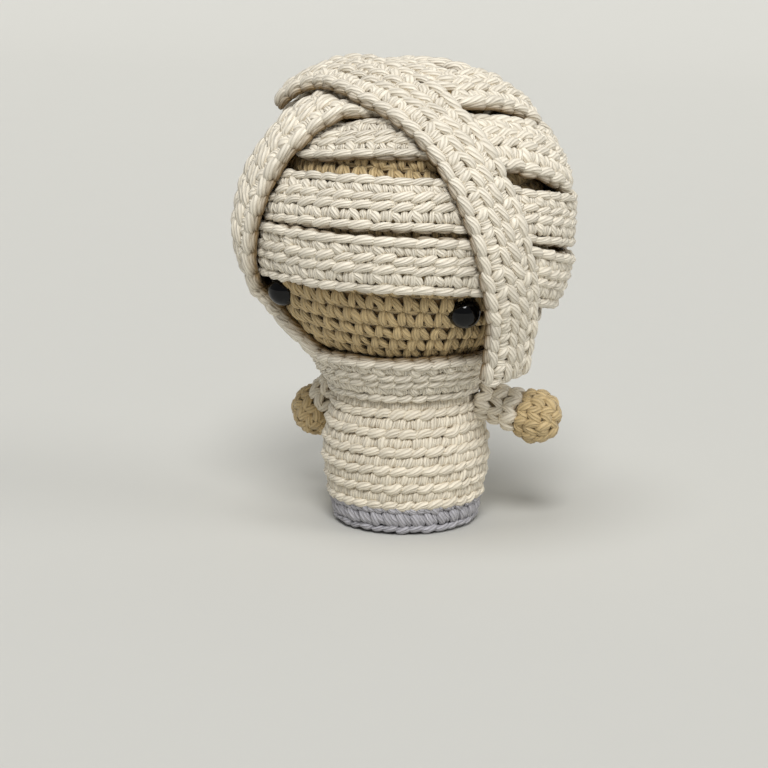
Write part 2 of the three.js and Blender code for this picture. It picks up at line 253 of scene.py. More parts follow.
@dataclass(frozen=True)
class YarnFinish:
    """Soft yarn of fine threads. Its map runs along the strand in millimetres and once round it; the creases
    between threads are the zeros of the sine of half a turn times threads round plus length over a pitch.
    Its hairs are a noise drawn out along the threads. Painted shade draws its colour towards its shade colour
    where the yarn lies low between strands, in the hollows between threads, and where the hairs' noise is
    low."""

    name: str
    colour: tuple[float, float, float]
    shade: tuple[float, float, float]
    roughness: float = 0.45
    specular: float = 0.4
    sheen: float = 0.12
    sheen_roughness: float = 0.45
    plies: int = 9
    ply_pitch: float = 3.0
    relief: float = 0.0003
    unevenness: float = 0.24
    painted_crease_shade: float = 0.19
    depth_shade: float = 0.95
    hair_shade: float = 0.2
    hair_share: float = 0.4
    hairs_along: float = 0.6
    hairs_round: float = 26.0

    def material(self) -> bpy.types.Material:
        """Wires the yarn's colour and relief.

        Returns:
            The yarn's material.
        """
        board = Board(self.name)
        split = board.node("ShaderNodeSeparateXYZ")
        board.feed(split.inputs[0], board.node("ShaderNodeUVMap", uv_map="yarn").outputs[0])
        along, round_it = split.outputs[0], split.outputs[1]
        turn = board.math("ADD", board.math("MULTIPLY", round_it, float(self.plies)),
                          board.math("DIVIDE", along, self.ply_pitch))
        ply = board.math("ABSOLUTE", board.math("SINE", board.math("MULTIPLY", turn, float(np.pi))))

        twisted = board.math("ADD", round_it, board.math("DIVIDE", along, self.ply_pitch * self.plies))
        stretched = board.node("ShaderNodeCombineXYZ")
        board.feed(stretched.inputs[0], board.math("MULTIPLY", along, self.hairs_along))
        board.feed(stretched.inputs[1], board.math("MULTIPLY", twisted, self.hairs_round))
        hair = board.noise(stretched.outputs[0], 1.0, 3.0)

        # Painted shade: the mesh's mark, high where yarn lies low between strands, draws the colour towards
        # the shade colour.
        painted_shade = board.node("ShaderNodeAttribute", attribute_name="painted_shade").outputs["Fac"]
        # Painted shade in the hollows between threads and along the hairs' noise, added to the bump that
        # shapes them.
        hollow = board.math("POWER", board.math("SUBTRACT", 1.0, ply), 2.0)
        painted_crease_shade = board.math("ADD", board.math("MULTIPLY", board.math("SUBTRACT", 1.0, hair), self.hair_shade),
                            board.math("MULTIPLY", hollow, self.painted_crease_shade))
        shaded = board.math("ADD", board.math("MULTIPLY", painted_shade, self.depth_shade), painted_crease_shade)
        colour = board.mix(board.math("MINIMUM", shaded, 1.0), linear(self.colour), linear(self.shade))

        tone = board.node("ShaderNodeAttribute", attribute_name="tone").outputs["Fac"]
        level = board.math("ADD", 1.0 - self.unevenness / 2, board.math(
            "MULTIPLY", board.weigh(tone, hair, self.hair_share), self.unevenness))
        grey = board.node("ShaderNodeCombineColor")
        for socket in grey.inputs[:3]:
            board.feed(socket, level)
        colour = board.mix(1.0, colour, grey.outputs[0], "MULTIPLY")
        return board.shade(
            Base_Color=colour, Roughness=self.roughness, Specular_IOR_Level=self.specular,
            Sheen_Weight=self.sheen, Sheen_Roughness=self.sheen_roughness,
            Normal=board.bump(board.weigh(ply, hair, self.hair_share), self.relief, 1.0))


@dataclass(frozen=True)
class FeltFinish:
    """Matted fibre behind the stitches: two noises, a fine one for its hairs and a broad one for its tone."""

    name: str
    colour: tuple[float, float, float]
    shade: tuple[float, float, float]
    grain: float = 1400.0
    broadness: float = 9.0
    relief: float = 0.0004
    relief_strength: float = 0.7
    roughness: float = 0.9
    sheen: float = 0.2

    def material(self) -> bpy.types.Material:
        """Wires the felt's colour and relief.

        Returns:
            The felt's material.
        """
        board = Board(self.name)
        place = board.node("ShaderNodeTexCoord").outputs["Object"]
        fine = board.noise(place, self.grain, 3.0)
        broad = board.noise(place, self.grain / self.broadness)
        colour = board.mix(board.weigh(fine, broad, 0.5), linear(self.shade), linear(self.colour))
        return board.shade(Base_Color=colour, Roughness=self.roughness, Sheen_Weight=self.sheen,
                           Normal=board.bump(fine, self.relief, self.relief_strength))


@dataclass(frozen=True)
class PlasticFinish:
    """Moulded plastic with a faint unevenness in its gloss."""

    name: str
    colour: tuple[float, float, float]
    roughness: float
    specular: float = 0.5
    grain: float = 900.0
    cloudiness: float = 0.4
    relief: float = 0.00001
    relief_strength: float = 0.3

    def material(self) -> bpy.types.Material:
        """Wires the plastic's gloss.

        Returns:
            The plastic's material.
        """
        board = Board(self.name)
        place = board.node("ShaderNodeTexCoord").outputs["Object"]
        cloud = board.noise(place, self.grain)
        rough = board.math("ADD", self.roughness * (1 - self.cloudiness / 2),
                           board.math("MULTIPLY", cloud, self.roughness * self.cloudiness))
        return board.shade(Base_Color=linear(self.colour), Roughness=rough, Specular_IOR_Level=self.specular,
                           Normal=board.bump(cloud, self.relief, self.relief_strength))


# Each yarn's second colour is the colour that painted shade draws it towards, low between strands and in the
# hollows between threads.
BANDAGE_YARN = YarnFinish("bandage_cotton", (251, 243, 225), (134, 108, 66))
CREAM_YARN = YarnFinish("cream_cotton", (252, 243, 223), (146, 118, 72))
TAN_YARN = YarnFinish("tan_cotton", (220, 194, 144), (62, 42, 16), roughness=0.5)
GREY_YARN = YarnFinish("grey_cotton", (198, 196, 201), (62, 58, 58))
# The backing felts are darker than their yarn: painted shade, so that the gaps between stitches show as
# shade.
SHADED_BANDAGE_FELT = FeltFinish("shaded_bandage_backing", (196, 176, 136), (160, 136, 94))
SHADED_CREAM_FELT = FeltFinish("shaded_cream_backing", (216, 196, 156), (178, 152, 108))
SHADED_TAN_FELT = FeltFinish("shaded_tan_backing", (154, 124, 78), (100, 74, 40))
SHADED_GREY_FELT = FeltFinish("shaded_grey_backing", (140, 139, 144), (100, 99, 104))
FILL_FELT = FeltFinish("fibre_filling", (244, 244, 240), (216, 216, 210), grain=700.0)
EYE_PLASTIC = PlasticFinish("black_gloss_plastic", (2, 2, 3), 0.05, specular=0.3)
CLEAR_PLASTIC = PlasticFinish("milky_plastic", (216, 218, 219), 0.42)


class Wardrobe:
    """Makes each finish's material once."""

    def __init__(self) -> None:
        """Starts with no materials."""
        self.made: dict[str, bpy.types.Material] = {}

    def of(self, finish: YarnFinish | FeltFinish | PlasticFinish) -> bpy.types.Material:
        """Makes the material of a finish, or gives the one made before.

        Args:
            finish: the finish.

        Returns:
            Its material.
        """
        if finish.name not in self.made:
            self.made[finish.name] = finish.material()
        return self.made[finish.name]


WARDROBE = Wardrobe()


# Curves and meshes


def unit(ways: Array) -> Array:
    """Each vector over its own length."""
    return ways / np.maximum(np.linalg.norm(ways, axis=-1, keepdims=True), NOTHING)


def bearing(azimuth: Array | float, latitude: Array | float = 0.0) -> Array:
    """The unit vector at an azimuth and a latitude: cosine of latitude times sine of azimuth, less cosine
    of latitude times cosine of azimuth, and sine of latitude.

    Args:
        azimuth: the turn from the face towards the doll's left, in radians.
        latitude: the rise over level, in radians.

    Returns:
        The vectors, with one more axis than the arguments.
    """
    turn, rise = np.broadcast_arrays(azimuth, latitude)
    return np.stack([np.cos(rise) * np.sin(turn), -np.cos(rise) * np.cos(turn), np.sin(rise)], -1)


def smooth_step(low: float, high: float, value: Array) -> Array:
    """0 below low, 1 above high and three t squared less two t cubed between them."""
    t = np.clip((value - low) / (high - low), 0, 1)
    return t * t * (3 - 2 * t)


def spline_weights(knots: int, samples: int) -> Array:
    """Weights that turn knots into evenly spaced samples of the smooth curve through them.

    Each sample is the usual cubic of the four knots round it; past each end stands one more knot, the end
    knot twice less its neighbour.

    Args:
        knots: how many knots the curve goes through.
        samples: how many samples are taken.

    Returns:
        A table of samples by knots.
    """
    place = np.linspace(0, knots - 1, samples)
    low = np.minimum(place.astype(int), knots - 2)
    t = place - low
    cubic = np.stack([-0.5 * t**3 + t**2 - 0.5 * t, 1.5 * t**3 - 2.5 * t**2 + 1,
                      -1.5 * t**3 + 2 * t**2 + 0.5 * t, 0.5 * t**3 - 0.5 * t**2], 1)
    table = np.zeros((samples, knots + 2))
    np.add.at(table, (np.arange(samples)[:, None], low[:, None] + np.arange(4)), cubic)
    inner = table[:, 1:-1].copy()
    inner[:, 0] += 2 * table[:, 0]
    inner[:, 1] -= table[:, 0]
    inner[:, -1] += 2 * table[:, -1]
    inner[:, -2] -= table[:, -1]
    return inner


def write_mesh(
    name: str,
    points: Array,
    faces: list[Array],
    uv: Array | None = None,
    marks: dict[str, Array] | None = None,
) -> bpy.types.Object:
    """Writes one smooth mesh object.

    Args:
        name: the piece's name.
        points: its vertices in millimetres.
        faces: tables of vertex numbers, one table for each count of corners.
        uv: a map place for each face corner, in the faces' order.
        marks: named numbers for the vertices.

    Returns:
        The object, in the scene.
    """
    mesh = bpy.data.meshes.new(name)
    mesh.vertices.add(len(points))
    mesh.vertices.foreach_set("co", (points * MM).astype(np.float32).ravel())
    corners = np.concatenate([table.ravel() for table in faces]).astype(np.int32)
    counts = np.concatenate([np.full(len(table), table.shape[1]) for table in faces])
    mesh.loops.add(len(corners))
    mesh.loops.foreach_set("vertex_index", corners)
    mesh.polygons.add(len(counts))
    mesh.polygons.foreach_set("loop_start", np.concatenate([[0], np.cumsum(counts)[:-1]]).astype(np.int32))
    mesh.polygons.foreach_set("use_smooth", np.ones(len(counts), bool))
    if uv is not None:
        layer = mesh.uv_layers.new(name="yarn")
        layer.data.foreach_set("uv", uv.astype(np.float32).ravel())
    for mark, values in (marks or {}).items():
        attribute = mesh.attributes.new(mark, "FLOAT", "POINT")
        attribute.data.foreach_set("value", values.astype(np.float32).ravel())
    mesh.update(calc_edges=True)
    if mesh.validate():
        raise ValueError(f"{name} has bad faces")
    made = bpy.data.objects.new(name, mesh)
    bpy.context.scene.collection.objects.link(made)
    return made


def tube_faces(rows: int, sides: int) -> Array:
    """The faces of a tube of rows of points, with the last side joined to the first. They face outwards
    where the points of a row go round clockwise as seen from the next row.

    Args:
        rows: how many rows the tube has.
        sides: how many points a row has.

    Returns:
        A table of four vertex numbers for each face.
    """
    i, j = np.meshgrid(np.arange(rows - 1), np.arange(sides), indexing="ij")
    k = (j + 1) % sides
    corners = [i * sides + j, (i + 1) * sides + j, (i + 1) * sides + k, i * sides + k]
    return np.stack(corners, -1).reshape(-1, 4)


def revolve(
    name: str, profile: Array, sides: int, origin: Array = FOOT, start: Array = FACE, quarter: Array = LEFT
) -> bpy.types.Object:
    """A turned piece: each profile point goes round the axis, and a point on the axis is one vertex.

    A point at radius r and height z is the origin plus r times (cosine of the turn times start plus its
    sine times quarter) plus z times the axis.

    Args:
        name: the piece's name.
        profile: radius and height of each point, closed where its ends are off the axis. It runs so that
            the outside is on its right when the axis points up.
        sides: how many steps go round.
        origin: where the axis starts.
        start: the way from the axis at no turn.
        quarter: the way from the axis at a quarter turn.

    Returns:
        The object.
    """
    turn = np.arange(sides) * TURN / sides
    spokes = np.cos(turn)[:, None] * start + np.sin(turn)[:, None] * quarter
    axis = np.cross(start, quarter)
    looped = bool(np.linalg.norm(profile[0] - profile[-1]) < NOTHING)
    rings = profile[:-1] if looped else profile
    points = origin + rings[:, None, :1] * spokes[None] + rings[:, None, 1:] * axis
    count = len(rings)
    number = np.arange(count * sides).reshape(count, sides)
    on_axis = rings[:, 0] < NOTHING
    number[on_axis] = number[on_axis][:, :1]
    lower = number if looped else number[:-1]
    upper = np.roll(number, -1, 0) if looped else number[1:]
    a, b = lower, np.roll(lower, -1, 1)
    d, c = upper, np.roll(upper, -1, 1)
    quads = np.stack([a, b, c, d], -1).reshape(-1, 4)
    flat_low, flat_high = quads[:, 0] == quads[:, 1], quads[:, 2] == quads[:, 3]
    whole = quads[~flat_low & ~flat_high]
    fans = np.concatenate([quads[flat_low & ~flat_high][:, [0, 2, 3]],
                           quads[flat_high & ~flat_low][:, [0, 1, 2]]])
    used, flat = np.unique(np.concatenate([whole.ravel(), fans.ravel()]), return_inverse=True)
    tables = [flat[:whole.size].reshape(-1, 4), flat[whole.size:].reshape(-1, 3)]
    return write_mesh(name, points.reshape(-1, 3)[used], [t for t in tables if len(t)])


def finish_piece(
    made: bpy.types.Object, finish: YarnFinish | FeltFinish | PlasticFinish, slot: Slot, body: Body | None,
    *nodes: str,
) -> bpy.types.Object:
    """Dresses a piece, puts it on its body and hides the CAD nodes it stands for.

    Args:
        made: the piece.
        finish: what it is made of.
        slot: the record's slot for that; not used.
        body: what it rides on, or None where it is put on no body.
        nodes: the CAD nodes it replaces.

    Returns:
        The piece.
    """
    made.data.materials.append(WARDROBE.of(finish))
    if body is not None:
        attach(made, body.value)
    if nodes:
        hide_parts(*nodes)
    log.info("%s: %d faces of %s", made.name, len(made.data.polygons), finish.name)
    return made


# Surfaces that yarn lies on


class Ground:
    """A surface that yarn lies on."""

    def place(self, along: Array, across: Array, height: Array) -> tuple[Array, Array]:
        """Points on or over the surface, and the ways out of it there.

        Args:
            along: how far along the surface.
            across: how far across it.
            height: how high over it.

        Returns:
            The points and the ways out, each with one more axis than the arguments.
        """
        raise NotImplementedError


class TurnedGround(Ground):
    """A turned surface. Along is the turn in radians, and across the distance along the profile."""

    def __init__(
        self, profile: Array, origin: Array = FOOT, start: Array = FACE, quarter: Array = LEFT,
        facing: int = 1,
    ) -> None:
        """Measures the profile.

        Args:
            profile: radius and height of its points.
            origin: where its axis starts.
            start: the way from the axis at no turn.
            quarter: the way from the axis at a quarter turn.
            facing: 1 where the profile runs up the axis, and -1 where it runs down.
        """
        self.profile, self.origin = profile, origin
        self.start, self.quarter = start, quarter
        self.axis = np.cross(start, quarter)
        self.reach = np.concatenate([[0], np.cumsum(np.linalg.norm(np.diff(profile, axis=0), axis=1))])
        slope = unit(np.gradient(profile, self.reach, axis=0))
        self.out = facing * np.stack([slope[:, 1], -slope[:, 0]], 1)
        self.length = float(self.reach[-1])

    def place(self, along: Array, across: Array, height: Array) -> tuple[Array, Array]:
        """The profile's point and way out at a distance along it, turned about the axis.

        Args:
            along: the turn, in radians.
            across: the distance along the profile.
            height: how high over the surface.

        Returns:
            The points and the ways out.
        """
        radius, rise = (np.interp(across, self.reach, self.profile[:, k]) for k in (0, 1))
        outward, upward = (np.interp(across, self.reach, self.out[:, k]) for k in (0, 1))
        spoke = np.cos(along)[..., None] * self.start + np.sin(along)[..., None] * self.quarter
        point = self.origin + spoke * (radius + outward * height)[..., None]
        point = point + self.axis * (rise + upward * height)[..., None]
        return point, unit(spoke * outward[..., None] + self.axis * upward[..., None])

    def across_height(self, height: float) -> float:
        """The distance along the profile at which it has a height."""
        order = np.argsort(self.profile[:, 1])
        return float(np.interp(height, self.profile[order, 1], self.reach[order]))


@dataclass(frozen=True)
class HeadSize:
    """The ball of the head and the layers of bandage on it, as in the part's source."""

    radius: float = 36.0
    half_height: float = 35.5
    centre_height: float = 75.79
    first_lift: float = 0.6
    layer_rise: float = 4.2
    wall: float = 3.0
    lean: float = 3.3
    lean_azimuth: float = 18.0

    def centre(self) -> Array:
        """The middle of the head."""
        return np.array([0.0, 0.0, self.centre_height])

    def radii(self) -> Array:
        """The head's half sizes."""
        return np.array([self.radius, self.radius, self.half_height])

    def leaning(self, ways: Array) -> Array:
        """Ways turned with the head, which leans to its left as seen from the lean's azimuth: a way's share
        square to that line of sight turns round it, and its share along it stays.

        Args:
            ways: the ways on an upright head.

        Returns:
            The ways on the leaning one.
        """
        lean, axis = -np.radians(self.lean), bearing(np.radians(self.lean_azimuth))
        along = (ways @ axis)[..., None] * axis
        return along + (ways - along) * np.cos(lean) + np.cross(axis, ways) * np.sin(lean)

    def way(self, points: Array) -> Array:
        """The ways from the head's middle to points, with its flattening taken out, as unit vectors."""
        return unit((points - self.centre()) / self.radii())

    def profile(self, inset: float, lowest: float, steps: int) -> Array:
        """The ball's outline from a latitude to the top.

        Args:
            inset: how far it is set in.
            lowest: the latitude it starts at, in degrees.
            steps: how many points it has.

        Returns:
            Radius and height of its points.
        """
        latitude = np.radians(np.linspace(lowest, 90, steps))
        radius = (self.radius - inset) * np.cos(latitude)
        radius[-1] = 0.0
        return np.stack([radius, self.centre_height + (self.half_height - inset) * np.sin(latitude)], 1)


HEAD = HeadSize()


class StripGround(Ground):
    """A bandage strip's path over the head.

    The route's unit vectors are joined by a centripetal curve and lifted by the layer that the strip lies
    in. Across goes along ahead x out, and a point drops by its square over twice the head's radius, so
    that the strip bows as the head does. Where a strip of the same layer lies over this one it is pressed
    flat, and where it lies over another it rises.

    A pair of numbers below is where a step begins and ends. Strips lie at one height where their layers
    differ by less than SAME_LAYER. PRESSING and RISING are millimetres outside the edge of a strip that
    crosses, UNDER_SCARF is millimetres below the scarf's top edge, and LOW_LAYER is the layers under it.
    """

    ROUTE_STEPS = 40
    FEWEST_STEPS = 8
    SAME_LAYER = (0.55, 0.95)
    PRESSING = (-1.2, 1.8)
    RISING = (-2.0, 3.0)
    UNDER_SCARF = (0.0, 2.5)
    LOW_LAYER = (1.7, 2.4)
    PRESSED_SHARE = 0.5
    RISE = 1.1
    END_FALL = 3

    def __init__(self, route: list[tuple[float, float, float]], width: float) -> None:
        """Works out the path, with a sample about every millimetre.

        Args:
            route: azimuth, latitude and layer of each point it passes.
            width: the strip's width.
        """
        nodes = np.array(route, float)
        ways = bearing(np.radians(nodes[:, 0]), np.radians(nodes[:, 1]))
        place, curve = self._centripetal(HEAD.leaning(ways), self.ROUTE_STEPS)
        layer = np.interp(place, np.arange(len(nodes)), nodes[:, 2])
        line = self._lift(unit(curve), layer)
        reach = np.concatenate([[0], np.cumsum(np.linalg.norm(np.diff(line, axis=0), axis=1))])
        self.width, self.length = width, float(reach[-1])
        count = max(self.FEWEST_STEPS, int(round(self.length)))
        even = np.linspace(0, self.length, count)
        self.step = self.length / (count - 1)
        self.way = unit(np.stack([np.interp(even, reach, unit(curve)[:, k]) for k in range(3)], 1))
        self.layer = self._soften(np.interp(even, reach, layer))
        self.line = self._lift(self.way, self.layer)
        out = unit((self.line - HEAD.centre()) / HEAD.radii()**2)
        self.ahead = unit(np.gradient(self.line, axis=0))
        self.side = unit(np.cross(self.ahead, out))
        self.out = np.cross(self.side, self.ahead)
        self.over: list[StripGround] = []
        self.under: list[StripGround] = []

    @staticmethod
    def _centripetal(points: Array, steps: int) -> tuple[Array, Array]:
        """The curve through points whose pieces are paced by the square root of their chords.

        Args:
            points: the points it passes.
            steps: samples for each piece.

        Returns:
            The place along the points and the curve's point, for each sample.
        """
        ends = np.concatenate([[2 * points[0] - points[1]], points, [2 * points[-1] - points[-2]]])
        pace = np.maximum(np.sqrt(np.linalg.norm(np.diff(ends, axis=0), axis=1)), NOTHING)
        p0, p1, p2, p3 = ends[:-3], ends[1:-2], ends[2:-1], ends[3:]
        d0, d1, d2 = (pace[k:len(pace) - 2 + k, None] for k in (0, 1, 2))
        m1 = ((p1 - p0) / d0 - (p2 - p0) / (d0 + d1) + (p2 - p1) / d1) * d1
        m2 = ((p2 - p1) / d1 - (p3 - p1) / (d1 + d2) + (p3 - p2) / d2) * d1
        t = (np.arange(steps) / steps)[None, :, None]
        a, b, u, v = (x[:, None, :] for x in (p1, p2, m1, m2))
        curve = a + u * t + (-3 * a + 3 * b - 2 * u - v) * t**2 + (2 * a - 2 * b + u + v) * t**3
        place = np.arange(len(points) - 1)[:, None] + (np.arange(steps) / steps)[None]
        return (np.append(place.ravel(), len(points) - 1.0),
                np.concatenate([curve.reshape(-1, 3), points[-1:]]))

    @staticmethod
    def _lift(way: Array, layer: Array) -> Array:
        """Points over the head in the ways given, at the height of a layer."""
        lift = (HEAD.first_lift + HEAD.layer_rise * (layer - 1))[:, None]
        return HEAD.centre() + way * (HEAD.radii() + lift)

    @staticmethod
    def _soften(values: Array) -> Array:
        """The values averaged over nine neighbours, with the ends held."""
        return np.convolve(np.pad(values, 4, mode="edge"), np.ones(9) / 9, mode="valid")

    def _at(self, along: Array) -> tuple[Array, Array, Array, Array]:
        """The path at distances along it. Past an end it goes straight on.

        Args:
            along: the distances.

        Returns:
            The path's points, its sides, its ways out and its layers.
        """
        place = along / self.step
        low = np.clip(np.floor(place).astype(int), 0, len(self.line) - 2)
        share = (place - low)[..., None]
        held = np.clip(share, 0, 1)
        point = self.line[low] * (1 - share) + self.line[low + 1] * share
        side = unit(self.side[low] * (1 - held) + self.side[low + 1] * held)
        out = unit(self.out[low] * (1 - held) + self.out[low + 1] * held)
        layer = self.layer[low] * (1 - held[..., 0]) + self.layer[low + 1] * held[..., 0]
        return point, side, out, layer

    def distance(self, way: Array) -> tuple[Array, Array]:
        """How far ways on the head are from this strip's middle line, and its layer where it is nearest.
        Past an end END_FALL times the distance past it is added, since a strip covers nothing there.

        Args:
            way: the ways, as unit vectors.

        Returns:
            The distances in millimetres and the layers.
        """
        ways, path = way.reshape(-1, 3), self.way[::2]
        likeness = ways @ path.T
        near = likeness.argmax(1)
        far = HEAD.radius * np.arccos(np.clip(likeness[np.arange(len(ways)), near], -1, 1))
        for end, onward in ((0, -self.ahead[0]), (len(path) - 1, self.ahead[-1])):
            past = HEAD.radius * np.maximum((ways - path[end]) @ onward, 0)
            far = np.where(near == end, far + self.END_FALL * past, far)
        return far.reshape(way.shape[:-1]), self.layer[::2][near].reshape(way.shape[:-1])

    @classmethod
    def _crossed(
        cls, others: list["StripGround"], way: Array, layer: Array, ramp: tuple[float, float]
    ) -> Array:
        """How much strips of the same layer cross ways on the head.

        Args:
            others: the strips that may cross.
            way: the ways, as unit vectors.
            layer: this strip's layer there.
            ramp: where the share starts to fall and where it has gone, in millimetres outside an edge.

        Returns:
            Shares from 0 to 1.
        """
        most = np.zeros(way.shape[:-1])
        for other in others:
            far, theirs = other.distance(way)
            same = 1 - smooth_step(*cls.SAME_LAYER, np.abs(layer - theirs))
            most = np.maximum(most, same * (1 - smooth_step(*ramp, far - other.width / 2)))
        return most

    def pressed(self, way: Array, layer: Array) -> Array:
        """How much the strips over this one or the scarf press on it.

        Args:
            way: ways on the head, as unit vectors.
            layer: this strip's layer there.

        Returns:
            Shares from 0 to 1.
        """
        under_scarf = smooth_step(*self.UNDER_SCARF, ScarfSize.over_top(way))
        under_scarf = under_scarf * (1 - smooth_step(*self.LOW_LAYER, layer))
        return np.maximum(self._crossed(self.over, way, layer, self.PRESSING), under_scarf)

    def hidden(self, along: Array, across: Array) -> Array:
        """Which places lie so far under other strips or the scarf that no stitch shows there.

        A place is hidden below the scarf's edge by more than scarf_depth where its layer is under
        scarf_layer, inside the edge of a strip over it by more than meeting_depth where their layers differ
        by less than meeting_layers, and inside the edge of any strip that is more than lower_layers higher,
        by more than lower_depth and as much again for each layer between them, since it is seen from aside.

        Args:
            along: distances along the path.
            across: distances across it.

        Returns:
            True where a place is hidden.
        """
        scarf_depth, scarf_layer = 3.5, 1.9
        meeting_depth, meeting_layers = 2.4, 0.7
        lower_depth, lower_layers = 2.2, 0.65
        point, side, _, layer = self._at(along)
        way = HEAD.way(point + side * across[..., None])
        lost = (ScarfSize.over_top(way) > scarf_depth) & (layer < scarf_layer)
        for other in self.over + self.under:
            far, theirs = other.distance(way)
            inside = other.width / 2 - far
            if other in self.over:
                lost |= (inside > meeting_depth) & (np.abs(layer - theirs) < meeting_layers)
            lost |= (inside > lower_depth + lower_depth * (theirs - layer)) & (theirs > layer + lower_layers)
        return lost

    def place(self, along: Array, across: Array, height: Array) -> tuple[Array, Array]:
        """The path's point, moved across and out, pressed flat or raised where strips cross.

        Args:
            along: the distance along the path.
            across: the distance across it.
            height: how high over the strip's underside.

        Returns:
            The points and the ways out.
        """
        point, side, out, layer = self._at(along)
        way = HEAD.way(point + side * across[..., None])
        lowered = height * (1 - self.PRESSED_SHARE * self.pressed(way, layer))
        lowered = lowered + self.RISE * self._crossed(self.under, way, layer, self.RISING)
        bowed = lowered - across**2 / (2 * HEAD.radius)
        spread = point + side * across[..., None] + out * bowed[..., None]
        return spread, unit(out + side * (across / HEAD.radius)[..., None])


@dataclass(frozen=True)
class ScarfSize:
    """The strip round the neck, from the hem on the shoulder to its top edge under the chin. Its cloth
    starts some points below the stitches' top edge, and the stitches lie a little inside it."""

    top_height: float = 47.8
    top_inner_radius: float = 24.2
    middle_inner_radius: float = 20.4
    hem_height: float = 36.0
    hem_inner_radius: float = 17.3
    sight_height: float = 45.0
    stitches: int = 33
    seed: int = 31
    cloth: float = 0.9
    cloth_start: int = 2
    stitch_inset: float = 0.9
    points: int = 20
    sides: int = 96

    @staticmethod
    def over_top(way: Array) -> Array:
        """How far ways on the head lie below the scarf's edge, in millimetres along the head."""
        edge = np.arcsin((ScarfSize.sight_height - HEAD.centre_height) / HEAD.half_height)
        return HEAD.radius * (edge - np.arcsin(np.clip(way[..., 2], -1, 1)))


# Yarn


@dataclass(frozen=True)
class Strand:
    """One strand of a stitch: its points (along in stitches, across in millimetres or rows, height in
    millimetres), its half thickness, how much wider than high it is, and how shaded it is."""

    points: tuple[tuple[float, float, float], ...]
    half: float
    wide: float = 1.0
    shade: float = 0.0


